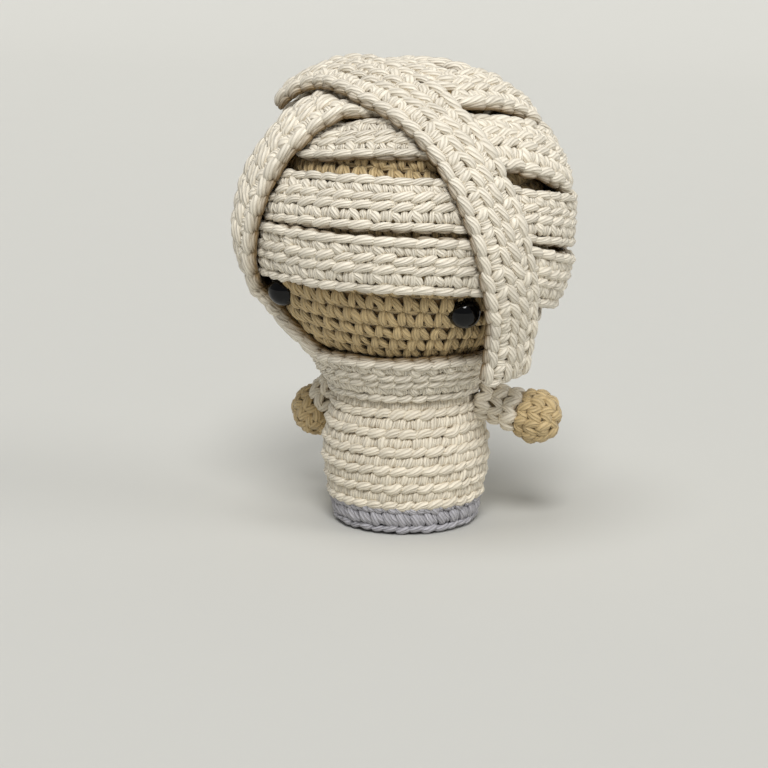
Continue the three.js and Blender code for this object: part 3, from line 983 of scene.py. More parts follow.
class YarnHeap:
    """Gathers strands and writes them as one mesh.

    A strand is a closed tube. Its middle line is the smooth curve through its points, laid on the ground,
    and its rings stand square to that line with their first point on the underside. Its half thickness is
    THICKEST less THINNING times the distance from its middle to the power TAPER, where an end is at 1.
    STRAY is how far points stray, along in stitches and across and up in millimetres, THICKNESS_STRAY is
    the same for the thickness as a share of it, and MAP_SHIFT is how far along a strand's map may start.
    Each vertex carries a mark of painted shade, which grows the lower the yarn lies over the ground, and a
    random tone for its strand.
    """

    RINGS = 8
    SIDES = 6
    THICKEST = 1.04
    THINNING = 0.66
    TAPER = 3.2
    STRAY = (0.035, 0.15, 0.09)
    THICKNESS_STRAY = 0.08
    MAP_SHIFT = 40

    def __init__(self, seed: int, shaded_below: float = 0.8, lit_above: float = 2.9) -> None:
        """Starts an empty heap.

        Args:
            seed: the seed of its small unevenness.
            shaded_below: the height over the ground under which yarn lies in full shade.
            lit_above: the height over which it lies in none.
        """
        self.random = np.random.default_rng(seed)
        self.low, self.high = shaded_below, lit_above
        self.points: list[Array] = []
        self.painted_shade: list[Array] = []
        self.tone: list[Array] = []
        self.map: list[Array] = []

    def lay(
        self, ground: Ground, strand: Strand, cells: Array, pitch: float, across: float, scale: float = 1.0,
        thick: float = 1.0,
    ) -> None:
        """Lays one strand in each cell.

        Args:
            ground: the surface it lies on.
            strand: the strand.
            cells: each cell's number along the ground.
            pitch: the length of a cell, in the ground's own measure along.
            across: where the strand's points are measured from, across.
            scale: what the strand's points are multiplied by, across.
            thick: what the strand's half thickness is multiplied by.
        """
        count = len(cells)
        if count == 0:
            return
        knots = np.array(strand.points)
        uneven = self.random.normal(0, 1, (count, len(knots), 3)) * np.array(self.STRAY)
        uneven[..., 1] /= scale
        path = spline_weights(len(knots), self.RINGS) @ (knots + uneven)
        middle, out = ground.place((cells[:, None] + path[..., 0]) * pitch, across + path[..., 1] * scale,
                                   path[..., 2])
        swell = self.THICKEST - self.THINNING * np.abs(np.linspace(-1, 1, self.RINGS)) ** self.TAPER
        half = thick * strand.half * swell * (1 + self.random.normal(0, self.THICKNESS_STRAY, (count, 1)))
        ahead = unit(np.gradient(middle, axis=1))
        side = unit(np.cross(ahead, out))
        up = np.cross(side, ahead)
        turn = np.arange(self.SIDES) * TURN / self.SIDES
        wide = -np.sin(turn)[:, None] * strand.wide
        high = -np.cos(turn)[:, None]
        ring = wide * side[:, :, None, :] + high * up[:, :, None, :]
        self.points.append(middle[:, :, None, :] + half[:, :, None, None] * ring)
        height = path[..., 2][:, :, None] + half[:, :, None] * high[:, 0]
        # Painted shade: the lower a point lies over the ground, the higher its mark, plus the strand's own
        # shade.
        self.painted_shade.append(np.clip(1 - smooth_step(self.low, self.high, height) + strand.shade, 0, 1))
        self.tone.append(self.random.random((count, 1, 1)) * np.ones((1, self.RINGS, self.SIDES)))
        run = np.cumsum(np.linalg.norm(np.diff(middle, axis=1, prepend=middle[:, :1]), axis=2), axis=1)
        self.map.append(run + self.random.random((count, 1)) * self.MAP_SHIFT)

    def write(self, name: str) -> bpy.types.Object:
        """Writes the gathered strands as one mesh.

        Args:
            name: the piece's name.

        Returns:
            The object, in the scene.
        """
        points = np.concatenate(self.points)
        count, rings, sides = points.shape[:3]
        first = np.arange(count)[:, None, None] * rings * sides
        walls = first + tube_faces(rings, sides)[None]
        round_cap = np.stack([np.arange(sides), np.arange(sides)[::-1]])
        caps = first + (round_cap + np.array([[0], [(rings - 1) * sides]]))[None]
        along = np.concatenate(self.map)
        i = np.repeat(np.arange(rings - 1), sides)
        j = np.tile(np.arange(sides), rings - 1)
        u = along[:, np.stack([i, i + 1, i + 1, i], 1)]
        v = np.broadcast_to(np.stack([j, j, j + 1, j + 1], 1) / sides, u.shape)
        wall_map = np.stack([u, v], -1).reshape(-1, 2)
        cap_u = np.broadcast_to(along[:, [0, -1], None], (count, 2, sides))
        cap_map = np.stack([cap_u, np.broadcast_to(round_cap / sides, cap_u.shape)], -1).reshape(-1, 2)
        marks = {"painted_shade": np.concatenate(self.painted_shade), "tone": np.concatenate(self.tone)}
        return write_mesh(name, points.reshape(-1, 3), [walls.reshape(-1, 4), caps.reshape(-1, sides)],
                          np.concatenate([wall_map, cap_map]), marks)


# Stitches. A bandage stitch's points are across from the strip's upper edge, on a strip BANDAGE_WIDTH wide.
BANDAGE_WIDTH = 13.6
BANDAGE_PITCH = 4.7
TOP_CHAIN = Strand(
    ((-0.24, 1.5, 1.6), (0.05, 1.2, 2.5), (0.45, 0.95, 2.8), (0.85, 0.9, 2.6), (1.16, 1.1, 1.8)), 1.1)
FOOT_CHAIN = Strand(
    ((-0.2, 12.7, 1.6), (0.1, 12.6, 2.4), (0.5, 12.35, 2.7), (0.9, 12.2, 2.5), (1.14, 12.0, 1.7)), 1.08)
TOP_SIDE = Strand(((-0.1, 1.1, 0.4), (0.2, 0.8, 1.2), (0.7, 0.75, 1.25), (1.06, 1.1, 0.5)), 0.95)
FOOT_SIDE = Strand(((-0.1, 12.5, 0.4), (0.2, 12.8, 1.2), (0.7, 12.85, 1.25), (1.06, 12.5, 0.5)), 0.95)
UPPER_POSTS = (
    Strand(((0.0, 1.9, 1.8), (0.1, 2.6, 2.45), (0.26, 3.5, 2.55), (0.4, 4.5, 1.8)), 1.02, 1.3),
    Strand(((0.56, 1.9, 1.8), (0.57, 2.6, 2.4), (0.6, 3.5, 2.4), (0.62, 4.5, 1.8)), 0.74, 1.15),
    Strand(((0.86, 1.9, 1.8), (0.86, 2.6, 2.45), (0.88, 3.5, 2.45), (0.9, 4.5, 1.8)), 0.74, 1.15),
)
UPPER_BAR = Strand(
    ((-0.18, 5.9, 1.7), (0.08, 5.5, 2.55), (0.45, 5.1, 2.85), (0.85, 4.7, 2.75), (1.1, 4.5, 1.9)), 1.08)
MIDDLE_POSTS = tuple(
    Strand(((a, 5.5, 1.8), (a, 6.3, 2.4), (a + 0.03, 7.2, 1.8)), 0.78, 1.15) for a in (0.12, 0.44, 0.76))
LOWER_BAR = Strand(
    ((-0.18, 8.4, 1.7), (0.08, 8.05, 2.55), (0.45, 7.6, 2.85), (0.85, 7.2, 2.75), (1.1, 7.05, 1.9)), 1.08)
LOWER_POSTS = (
    Strand(((0.02, 8.4, 1.8), (0.1, 9.2, 2.5), (0.24, 10.3, 2.55), (0.36, 11.6, 1.9)), 0.98, 1.2),
    Strand(((0.62, 8.4, 1.8), (0.6, 9.2, 2.4), (0.56, 10.3, 2.45), (0.54, 11.6, 1.9)), 0.86, 1.15),
    Strand(((0.98, 8.3, 1.8), (0.94, 9.2, 2.45), (0.88, 10.3, 2.5), (0.8, 11.6, 1.9)), 0.86, 1.15),
)
BANDAGE_STITCH = (
    TOP_SIDE, FOOT_SIDE, TOP_CHAIN, *UPPER_POSTS, UPPER_BAR, *MIDDLE_POSTS, LOWER_BAR, *LOWER_POSTS,
    FOOT_CHAIN,
)
# The chain that closes a strip's end.
END_CHAIN = (
    Strand(((0.02, 0.9, 1.5), (-0.02, 2.2, 2.6), (-0.02, 3.8, 2.7), (0.02, 5.2, 1.6)), 0.85),
    Strand(((0.02, 4.7, 1.5), (-0.02, 6.0, 2.6), (-0.02, 7.6, 2.7), (0.02, 9.0, 1.6)), 0.85),
    Strand(((0.02, 8.5, 1.5), (-0.02, 9.8, 2.6), (-0.02, 11.4, 2.7), (0.02, 12.7, 1.6)), 0.85),
)
# A plain stitch: a short upright bump, a leg that slants down beside it, and the strand they stand on. Its
# points are across in rows from its lower edge.
PLAIN_STITCH = (
    Strand(((-0.08, 0.02, -0.7), (0.25, 0.1, 0.0), (0.75, 0.08, 0.0), (1.08, 0.0, -0.7)), 0.82, 1.1, 0.15),
    Strand(((0.3, 0.0, -0.7), (0.24, 0.26, 0.62), (0.22, 0.62, 0.78), (0.27, 0.94, 0.1), (0.32, 1.06, -0.7)),
           1.0, 1.14),
    Strand(((0.42, 1.04, -0.7), (0.52, 0.82, 0.36), (0.72, 0.5, 0.58), (0.9, 0.18, 0.3), (1.0, -0.04, -0.7)),
           1.0, 1.14),
)
# An arm's stitch: a V of two plump legs over a strand that fills between them.
ARM_STITCH = (
    Strand(((-0.1, 0.5, -0.2), (0.3, 0.5, 0.05), (0.7, 0.5, 0.05), (1.1, 0.5, -0.2)), 0.95, 1.3, 0.1),
    Strand(((0.54, -0.16, -0.6), (0.42, 0.1, 0.4), (0.25, 0.48, 0.6), (0.1, 0.84, 0.25), (0.02, 1.1, -0.6)),
           1.22, 1.16),
    Strand(((0.5, -0.16, -0.6), (0.62, 0.1, 0.34), (0.79, 0.48, 0.54), (0.93, 0.84, 0.2), (1.0, 1.1, -0.6)),
           1.16, 1.16),
)
# A rib of the body and the posts over it, across in millimetres from the rib's middle.
RIB_STITCH = (
    Strand(((-0.2, -0.5, -0.4), (0.08, -0.2, 0.5), (0.45, 0.05, 0.66), (0.82, 0.3, 0.5), (1.18, 0.5, -0.4)),
           1.16),
    Strand(((-0.02, 0.7, -0.3), (0.06, 1.4, 0.22), (0.2, 2.6, 0.26), (0.32, 3.6, -0.3)), 0.98, 1.15),
    Strand(((0.34, 0.7, -0.3), (0.4, 1.4, 0.16), (0.52, 2.6, 0.2), (0.62, 3.6, -0.3)), 0.84, 1.1),
    Strand(((0.64, 0.7, -0.3), (0.7, 1.4, 0.16), (0.82, 2.6, 0.2), (0.92, 3.6, -0.3)), 0.84, 1.1),
)
# A grey stitch of the base, across in rows, and the chain along its bottom edge.
BASE_STITCH = (
    Strand(((0.5, -0.04, -0.6), (0.42, 0.24, 0.3), (0.2, 0.72, 0.35), (0.08, 1.02, -0.6)), 1.0, 1.15),
    Strand(((0.98, -0.04, -0.6), (0.86, 0.24, 0.26), (0.62, 0.72, 0.3), (0.5, 1.02, -0.6)), 0.92, 1.15),
)
BASE_CHAIN = Strand(((-0.2, -0.3, -0.4), (0.15, -0.1, 0.3), (0.75, 0.15, 0.35), (1.15, 0.35, -0.4)), 0.95)


# Sub-assemblies


@dataclass
class Bandage:
    """One strip of bandage: a backing of cloth and the stitches on it."""

    name: str
    width: float
    route: list[tuple[float, float, float]]
    seed: int
    cloth: float = 2.0
    cloth_fill: float = 0.95
    cloth_inset: float = 1.2
    cloth_end: float = 0.3
    cloth_row: float = 2.2
    stitch_thick: float = 1.04
    ground: StripGround = field(init=False)

    def __post_init__(self) -> None:
        """Works out the strip's path."""
        self.ground = StripGround(self.route, self.width)

    def backing(self) -> bpy.types.Object:
        """The strip's cloth: a flat oval section, rounded at its edges by the fourth root of one less the
        fourth power of the place across, carried along the path and closed at its ends.

        Returns:
            The cloth, not yet dressed.
        """
        rows, half = max(6, int(self.ground.length / self.cloth_row)), self.width / 2 - self.cloth_inset
        share = np.linspace(-1, 1, 9)
        middle = self.cloth / 2
        bulge = (1 - share**4) ** 0.25 * middle * self.cloth_fill
        across = np.concatenate([share, share[-2:0:-1]]) * half
        height = np.concatenate([middle + bulge, middle - bulge[-2:0:-1]])
        along = np.linspace(self.cloth_end, self.ground.length - self.cloth_end, rows)
        a, x = np.meshgrid(along, across, indexing="ij")
        points, _ = self.ground.place(a, x, np.broadcast_to(height, x.shape))
        sides = len(across)
        last = (rows - 1) * sides
        caps = np.stack([np.arange(sides), last + np.arange(sides)[::-1]])
        return write_mesh(f"{self.name}_cloth", points.reshape(-1, 3), [tube_faces(rows, sides), caps])

    def stitches(self) -> bpy.types.Object:
        """The strip's stitches and the chains that close its ends. On a narrow strip they are smaller, and
        their yarn is a little thinner.

        Returns:
            The yarn, not yet dressed.
        """
        heap = YarnHeap(self.seed)
        cells = np.arange(max(2, int(round(self.ground.length / BANDAGE_PITCH))))
        pitch = self.ground.length / len(cells)
        scale, edge = self.width / BANDAGE_WIDTH, -self.width / 2
        for strand in BANDAGE_STITCH:
            middle = np.mean(np.array(strand.points), axis=0)
            across = np.full(len(cells), middle[1] * scale + edge)
            hidden = self.ground.hidden((cells + middle[0]) * pitch, across)
            heap.lay(self.ground, strand, cells[~hidden].astype(float), pitch, edge, scale,
                     thick=self.stitch_thick * scale**0.8)
        for end in (0.0, float(len(cells))):
            for strand in END_CHAIN:
                across = np.array([np.mean(np.array(strand.points)[:, 1]) * scale + edge])
                if not self.ground.hidden(np.array([end * pitch]), across)[0]:
                    heap.lay(self.ground, strand, np.array([end]), pitch, edge, scale)
        return heap.write(f"{self.name}_stitches")

    def build(self) -> None:
        """Makes the strip's two pieces."""
        cloth = finish_piece(self.backing(), SHADED_BANDAGE_FELT, Slot.BANDAGE, Body.HEAD, self.name)
        yarn = finish_piece(self.stitches(), BANDAGE_YARN, Slot.BANDAGE, Body.HEAD, self.name)


# The strips' widths, and each strip's route as azimuth, latitude and layer.
BAND = 13.2
BROW = 14.2
UPPER = 11.5
WIDE = 15.5
SIDE = 17.0
BANDAGES = [
    Bandage("brow_band", BROW, [
        (-179.4, -8, 1), (-140, -8, 1), (-100, -8, 1), (-60, -7.3, 1), (-40, -6, 1), (-20, -5.1, 1),
        (0, -4.2, 1), (20, -3.7, 1), (42, -3.9, 1), (64, -7, 1), (82, -11, 1.6), (104, -14.6, 1.8),
        (128, -14.5, 1.4), (150, -11, 1), (179.4, -8, 1)], 11),
    Bandage("forehead_band", BAND, [
        (-179.4, 16, 1), (-140, 15, 1), (-100, 13.5, 1), (-60, 13.5, 1), (-40, 15.2, 1), (-20, 17.2, 1),
        (0, 18.3, 1), (20, 19, 1), (42, 18.6, 1), (64, 14.8, 1), (82, 11.0, 1.6), (104, 7.4, 1.8),
        (128, 9, 1.3), (150, 13, 1), (179.4, 16, 1)], 12),
    Bandage("diagonal_strip", WIDE, [
        (-86, 45.5, 2.75), (-77, 56, 2.85), (-62, 64.5, 2.5), (-40, 66.8, 2.1), (0, 63.2, 2.0),
        (26, 51.4, 2.1), (39, 35.6, 2.05), (46, 20, 2),
        (51, 5, 2), (56, -9, 2), (61, -19, 2), (65, -30, 2.1), (67, -39, 2.8), (68, -44, 3.3)], 13),
    Bandage("right_side_strip", SIDE, [
        (-2, 68, 1), (-28, 63, 1.2), (-42, 50, 1.9), (-48.5, 36, 2), (-52.5, 22, 2), (-56, 7, 2),
        (-60, -7, 2), (-69, -20, 1.5), (-72, -31, 1.1), (-71, -42, 1), (-67, -50, 1), (-64, -58, 1)], 14),
    Bandage("crown_front_strip", WIDE, [
        (-98, 42, 2.0), (-93, 54, 2.05), (-90, 62, 1.75), (0, 80, 1.5), (50, 68.3, 1.7), (74, 65.5, 1.85),
        (96, 60.5, 2), (114, 49, 2)], 15),
    Bandage("crown_middle_strip", WIDE, [
        (-120, 36, 2), (-120, 58, 2), (180, 76, 2), (122, 62, 2), (126, 46, 2), (132, 32, 2)], 16),
    Bandage("crown_rear_strip", WIDE, [
        (-138, 26, 2), (-146, 42, 2), (-180, 54, 2), (-214, 44, 2), (-222, 26, 2)], 17),
    Bandage("back_wrap_strip", SIDE, [
        (46, 45.5, 1), (64, 43, 1.3), (82, 37, 1.8), (104, 27.5, 2), (128, 18, 2), (152, 9, 2), (176, 0, 2),
        (200, -9, 2), (224, -17, 2), (248, -24, 2), (268, -28, 2)], 18),
    Bandage("upper_band", UPPER, [
        (30, 46.5, 1), (14, 45.8, 1), (-13, 43.3, 1), (-38, 39.6, 1), (-80, 38.5, 1), (-120, 39, 1),
        (-160, 40, 1), (-200, 40, 1), (-240, 40, 1), (-268, 40, 1)], 19),
    Bandage("crown_under_strip", BAND, [
        (-90, 60, 1), (-90, 75, 1), (90, 88, 1), (90, 73, 1), (90, 58, 1)], 20),
    Bandage("nape_upper_band", BAND, [
        (80, -38, 1), (104, -38, 1.3), (130, -34, 1), (160, -30, 1), (180, -29, 1), (214, -29, 1),
        (248, -29, 1), (277, -28, 1)], 21),
    Bandage("nape_lower_band", BAND, [
        (88, -49, 1), (112, -49, 1), (146, -47, 1), (180, -46, 1), (214, -46, 1), (248, -46, 1),
        (272, -45, 1)], 22),
]


@dataclass
class BandageWrap:
    """All the strips on the head and the scarf, each lying over those after it in the list. A strip hides
    what lies inside its edge, less by hidden_less for each layer that it is raised."""

    strips: list[Bandage]
    scarf: ScarfSize = ScarfSize()
    hidden_less: float = 3.0

    def __post_init__(self) -> None:
        """Tells each strip which strips cross over it and under it."""
        for number, strip in enumerate(self.strips):
            strip.ground.over = [other.ground for other in self.strips[:number]]
            strip.ground.under = [other.ground for other in self.strips[number + 1:]]

    def covered(self, way: Array) -> Array:
        """How deep ways on the head lie inside the nearest strip's edge, or below the scarf's top edge.

        Args:
            way: the ways, as unit vectors.

        Returns:
            Depths in millimetres, below 0 where the head is bare.
        """
        inside = []
        for strip in self.strips:
            far, layer = strip.ground.distance(way)
            inside.append(strip.width / 2 - far - self.hidden_less * (layer - 1))
        return np.maximum(np.max(inside, axis=0), ScarfSize.over_top(way))

    def build_scarf(self) -> None:
        """The scarf: a turned cloth that leans out from the hem to the chin, and its rows of stitches."""
        size = self.scarf
        line = np.array([[size.top_inner_radius, size.top_height],
                         [size.middle_inner_radius, (size.top_height + size.hem_height) / 2],
                         [size.hem_inner_radius, size.hem_height]])
        inner = spline_weights(len(line), size.points) @ line
        ground = TurnedGround(inner, facing=-1)
        outer, _ = ground.place(np.zeros(size.points), ground.reach, np.full(size.points, size.cloth))
        outer = np.stack([-outer[:, 1], outer[:, 2]], 1)
        lower, over = inner[size.cloth_start:], outer[size.cloth_start:]
        profile = np.concatenate([lower, over[::-1], lower[:1]])
        cloth = finish_piece(revolve("chin_scarf_cloth", profile, size.sides), SHADED_BANDAGE_FELT, Slot.BANDAGE,
                             Body.HEAD, "chin_scarf")
        heap = YarnHeap(size.seed)
        cells = np.arange(size.stitches).astype(float)
        under = TurnedGround(inner - np.array([size.stitch_inset, 0.0]), facing=-1)
        for strand in BANDAGE_STITCH:
            heap.lay(under, strand, cells, TURN / size.stitches, 0.0, ground.length / BANDAGE_WIDTH)
        yarn = finish_piece(heap.write("chin_scarf_stitches"), BANDAGE_YARN, Slot.BANDAGE, Body.HEAD,
                            "chin_scarf")

    def build(self) -> None:
        """Makes the strips and the scarf."""
        for strip in self.strips:
            strip.build()
        self.build_scarf()


@dataclass
class HeadBall:
    """The stuffed head: its skin of plain stitches, its filling and its eyes. Latitudes and azimuths are in
    degrees, and an eye's rim is radius and height of the corners behind its dome."""

    wrap: BandageWrap
    seed: int = 41
    row_degrees: float = 7.4
    lowest_row: float = -70.0
    highest_row: float = 84.0
    row_shift: float = 0.37
    stitch_width: float = 4.5
    stitch_inset: float = 0.8
    ground_start: float = -89.0
    fewest_stitches: int = 5
    stitch_shade: tuple[float, float] = (-0.2, 1.2)
    hidden_depth: float = 5.0
    cloth_inset: float = 0.9
    neck_opening: float = -71.5
    inner_opening: float = -70.0
    filling_gap: float = 0.4
    fill: float = 0.95
    eye_radius: float = 4.15
    eye_dome: float = 4.1
    eye_drop: float = 0.4
    eye_rim: tuple[tuple[float, float], ...] = ((1.5, -1.1), (3.8, -1.1), (4.1, -0.8))
    stem_length: float = 8.0
    left_eye_azimuth: float = 45.5
    right_eye_azimuth: float = -48.5
    eye_latitude: float = -24.7
    eye_stand: float = 0.4
    washer_bore: float = 1.7
    washer_radius: float = 4.5
    washer_thick: float = 1.4
    washer_edge: float = 0.2
    washer_depth: float = 4.0

    def _standing(self, azimuth: float) -> tuple[Array, Array, Array]:
        """Where an eye stands on the skin.

        Args:
            azimuth: its azimuth.

        Returns:
            Its place, and two ways square to each other and to the way out there.
        """
        way = HEAD.leaning(bearing(np.radians(azimuth), np.radians(self.eye_latitude)))
        out = unit(way / HEAD.radii())
        start = unit(np.cross(UP, out))
        return HEAD.centre() + way * HEAD.radii() + out * self.eye_stand, start, np.cross(out, start)

    def skin(self) -> None:
        """The shell of the head, and the stitches wherever no strip hides them."""
        outer = HEAD.profile(self.cloth_inset, self.neck_opening, 40)
        inner = HEAD.profile(HEAD.wall, self.inner_opening, 34)[::-1]
        profile = np.concatenate([outer, inner, outer[:1]])
        shell = finish_piece(revolve("head_skin_cloth", profile, SHELL_SIDES), SHADED_TAN_FELT, Slot.TAN, Body.HEAD,
                             "head_skin")
        face, left = HEAD.leaning(FACE), HEAD.leaning(LEFT)
        foot = HEAD.centre() - np.cross(face, left) * HEAD.centre_height
        ground = TurnedGround(HEAD.profile(self.stitch_inset, self.ground_start, 120), foot, face, left)
        heap = YarnHeap(self.seed, *self.stitch_shade)
        radius = HEAD.radius - self.stitch_inset
        row_height = np.radians(self.row_degrees) * radius
        for row, latitude in enumerate(np.arange(self.lowest_row, self.highest_row, self.row_degrees)):
            middle = np.radians(latitude + self.row_degrees / 2)
            round_it = TURN * radius * np.cos(middle)
            count = max(self.fewest_stitches, int(round(round_it / self.stitch_width)))
            cells = np.arange(count) + self.row_shift * row
            way = bearing((cells + 0.5) * TURN / count, middle)
            shown = cells[self.wrap.covered(HEAD.leaning(way)) < self.hidden_depth]
            rise = (HEAD.half_height - self.stitch_inset) * np.sin(np.radians(latitude))
            low = ground.across_height(HEAD.centre_height + rise)
            for strand in PLAIN_STITCH:
                heap.lay(ground, strand, shown, TURN / count, low, row_height)
        finish_piece(heap.write("head_skin_stitches"), TAN_YARN, Slot.TAN, Body.HEAD, "head_skin")

    def filling(self) -> None:
        """The fibre inside the skin."""
        profile = HEAD.profile(HEAD.wall + self.filling_gap, self.inner_opening, 30)
        profile = np.concatenate([[[0.0, profile[0, 1]]], profile])
        ball = finish_piece(revolve("head_filling", profile, FILLING_SIDES), FILL_FELT, Slot.FILL, Body.HEAD,
                            "head_stuffing")

    def eye(self, side: str, azimuth: float) -> None:
        """One eye: a glossy dome on a stem, and the washer that grips the stem inside the skin.

        Args:
            side: left or right.
            azimuth: where it stands.
        """
        place, start, quarter = self._standing(azimuth)
        angle = np.radians(np.linspace(0, 90, 16))
        dome = np.stack([self.eye_radius * np.cos(angle), self.eye_dome * np.sin(angle) - self.eye_drop], 1)
        dome[-1, 0] = 0.0
        stem = self.eye_rim[0][0]
        foot = np.array([(0.0, -self.stem_length), (stem, -self.stem_length), *self.eye_rim])
        profile = np.concatenate([foot, dome])
        finish_piece(revolve(f"{side}_eye_dome", profile, SMALL_SIDES, place, start, quarter),
                     EYE_PLASTIC, Slot.EYE, Body.HEAD, f"{side}_eye")
        low, edge = -self.washer_depth - self.washer_thick, self.washer_edge
        top, bore, rim = low + self.washer_thick, self.washer_bore, self.washer_radius
        ring = np.array([(bore, low), (rim - edge, low), (rim, low + edge), (rim, top - edge),
                         (rim - edge, top), (bore, top), (bore, low)])
        finish_piece(revolve(f"{side}_eye_lock_washer", ring, 32, place, start, quarter),
                     CLEAR_PLASTIC, Slot.CLEAR, Body.HEAD, f"{side}_eye_washer")

    def build(self) -> None:
        """Makes the head's pieces."""
        self.skin()
        self.filling()
        self.eye("left", self.left_eye_azimuth)
        self.eye("right", self.right_eye_azimuth)


@dataclass
class Torso:
    """The ribbed body, its grey base and what is inside them. A pair is radius and height, with three
    exceptions: base_rows holds each row's height and the height of its stitches, a ground pair is the
    heights between which stitches lie, and a shade pair is where yarn lies in full shade and in none."""

    foot_radius: float = 18.4
    belly: tuple[float, float] = (21.4, 19.0)
    shoulder: tuple[float, float] = (18.2, 35.0)
    neck: tuple[float, float] = (14.5, 43.0)
    neck_lip: tuple[float, float] = (11.5, 42.6)
    wall: float = 3.0
    inner_top: float = 39.6
    fill: float = 0.95
    cloth_inset: float = 1.7
    rib_inset: float = 1.3
    rib_ground: tuple[float, float] = (0.5, 42.5)
    rib_pitch: float = 4.68
    first_rib: float = 7.9
    ribs: int = 7
    rib_stitches: int = 31
    rib_shift: float = 0.3
    rib_scale: float = 1.1
    rib_thick: float = 1.06
    rib_shade: tuple[float, float] = (-0.5, 1.0)
    rib_seed: int = 51
    seam: float = 0.3
    base_height: float = 8.6
    base_floor: float = 3.0
    sole: tuple[tuple[float, float], ...] = ((0.0, 0.0), (16.0, 0.0), (16.7, 0.3))
    base_cloth_inset: float = 1.5
    base_cloth_foot: float = 0.9
    base_inset: float = 1.2
    base_ground: tuple[float, float] = (0.0, 12.0)
    base_rows: tuple[tuple[float, float], ...] = ((2.2, 4.0), (6.0, 1.6))
    base_chain: float = 1.4
    base_stitches: int = 33
    base_shift: float = 0.35
    base_shade: tuple[float, float] = (-0.4, 0.9)
    base_seed: int = 52
    disc: tuple[tuple[float, float], ...] = (
        (0.0, 3.3), (15.5, 3.3), (15.7, 3.5), (15.7, 4.3), (15.5, 4.5), (0.0, 4.5))
    filling_gap: float = 0.6
    filling_foot: float = 4.8
    filling_shoulder: float = 37.7
    filling_top: tuple[tuple[float, float], ...] = ((11.2, 42.0), (0.0, 42.2))
    neck_seam: tuple[float, float] = (16.0, 42.7)
    neck_seam_yarn: float = 0.6

    def outline(self, inset: float, low: float, high: float, steps: int) -> Array:
        """The body's outline: the smooth curve through the foot, belly, shoulder and neck, each end counted
        twice.

        Args:
            inset: how far it is set in.
            low: the height it starts at.
            high: the height it ends at.
            steps: how many points it has.

        Returns:
            Radius and height of its points.
        """
        foot = (self.foot_radius, 0.0)
        knots = np.array([foot, foot, self.belly, self.shoulder, self.neck, self.neck])
        t = np.linspace(0, 1, 60, endpoint=False)[None, :, None]
        p0, p1, p2, p3 = (knots[k:k + 3, None, :] for k in range(4))
        v0, v1 = (p2 - p0) / 2, (p3 - p1) / 2
        curve = (2 * p1 - 2 * p2 + v0 + v1) * t**3 + (-3 * p1 + 3 * p2 - 2 * v0 - v1) * t**2 + v0 * t + p1
        curve = np.concatenate([curve.reshape(-1, 2), [self.neck]])
        height = np.linspace(low, high, steps)
        return np.stack([np.interp(height, curve[:, 1], curve[:, 0]) - inset, height], 1)

    def tube(self) -> None:
        """The cream shell, and on it ribs of slanting strands with posts between them."""
        outer = self.outline(self.cloth_inset, self.base_height + self.seam, self.neck[1], 30)
        inner = self.outline(self.wall, self.base_height + self.seam, self.inner_top, 26)[::-1]
        profile = np.concatenate([outer, [self.neck_lip], inner, outer[:1]])
        shell = finish_piece(revolve("body_tube_cloth", profile, SHELL_SIDES), SHADED_CREAM_FELT, Slot.CREAM,
                             Body.TORSO, "body_tube")
        ground = TurnedGround(self.outline(self.rib_inset, *self.rib_ground, 90))
        heap = YarnHeap(self.rib_seed, *self.rib_shade)
        for row in range(self.ribs):
            low = ground.across_height(self.first_rib + row * self.rib_pitch)
            cells = np.arange(self.rib_stitches) + self.rib_shift * row
            for strand in RIB_STITCH:
                heap.lay(ground, strand, cells, TURN / self.rib_stitches, low, self.rib_scale,
                         thick=self.rib_thick)
        finish_piece(heap.write("body_tube_stitches"), CREAM_YARN, Slot.CREAM, Body.TORSO, "body_tube")

    def base(self) -> None:
        """The grey cup under the body, with two rows of stitches and a chain at the ground."""
        outer = self.outline(self.base_cloth_inset, self.base_cloth_foot, self.base_height, 8)
        inner = self.outline(self.wall, self.base_floor, self.base_height, 6)[::-1]
        profile = np.concatenate([self.sole, outer, inner, [[0.0, self.base_floor]]])
        finish_piece(revolve("base_cup_cloth", profile, SHELL_SIDES), SHADED_GREY_FELT, Slot.GREY, Body.TORSO,
                     "base_cup")
        ground = TurnedGround(self.outline(self.base_inset, *self.base_ground, 40))
        heap = YarnHeap(self.base_seed, *self.base_shade)
        pitch = TURN / self.base_stitches
        for row, (bottom, row_height) in enumerate(self.base_rows):
            cells = np.arange(self.base_stitches) + self.base_shift * row
            for strand in BASE_STITCH:
                heap.lay(ground, strand, cells, pitch, ground.across_height(bottom), row_height)
        heap.lay(ground, BASE_CHAIN, np.arange(self.base_stitches).astype(float), pitch,
                 ground.across_height(self.base_chain))
        finish_piece(heap.write("base_cup_stitches"), GREY_YARN, Slot.GREY, Body.TORSO, "base_cup")

    def inside(self) -> None:
        """The disc in the base, the fibre over it and the yarn that sews the neck."""
        finish_piece(revolve("base_disc", np.array(self.disc), 64), CLEAR_PLASTIC, Slot.CLEAR, Body.TORSO,
                     "base_stiffener_disc")
        fibre = self.outline(self.wall + self.filling_gap, self.filling_foot, self.filling_shoulder, 24)
        fibre = np.concatenate([[[0.0, self.filling_foot]], fibre, self.filling_top])
        made = finish_piece(revolve("body_filling", fibre, FILLING_SIDES), FILL_FELT, Slot.FILL, Body.TORSO,
                            "body_stuffing")
        turn = np.radians(np.arange(0, 361, 30))
        ring = np.array(self.neck_seam) + self.neck_seam_yarn * np.stack([np.cos(turn), np.sin(turn)], 1)
        ring[-1] = ring[0]
        finish_piece(revolve("neck_seam", ring, SHELL_SIDES), SHADED_CREAM_FELT, Slot.CREAM, Body.TORSO,
                     "neck_seam_yarn")

    def build(self) -> None:
        """Makes the body's pieces."""
        self.tube()
        self.base()
        self.inside()


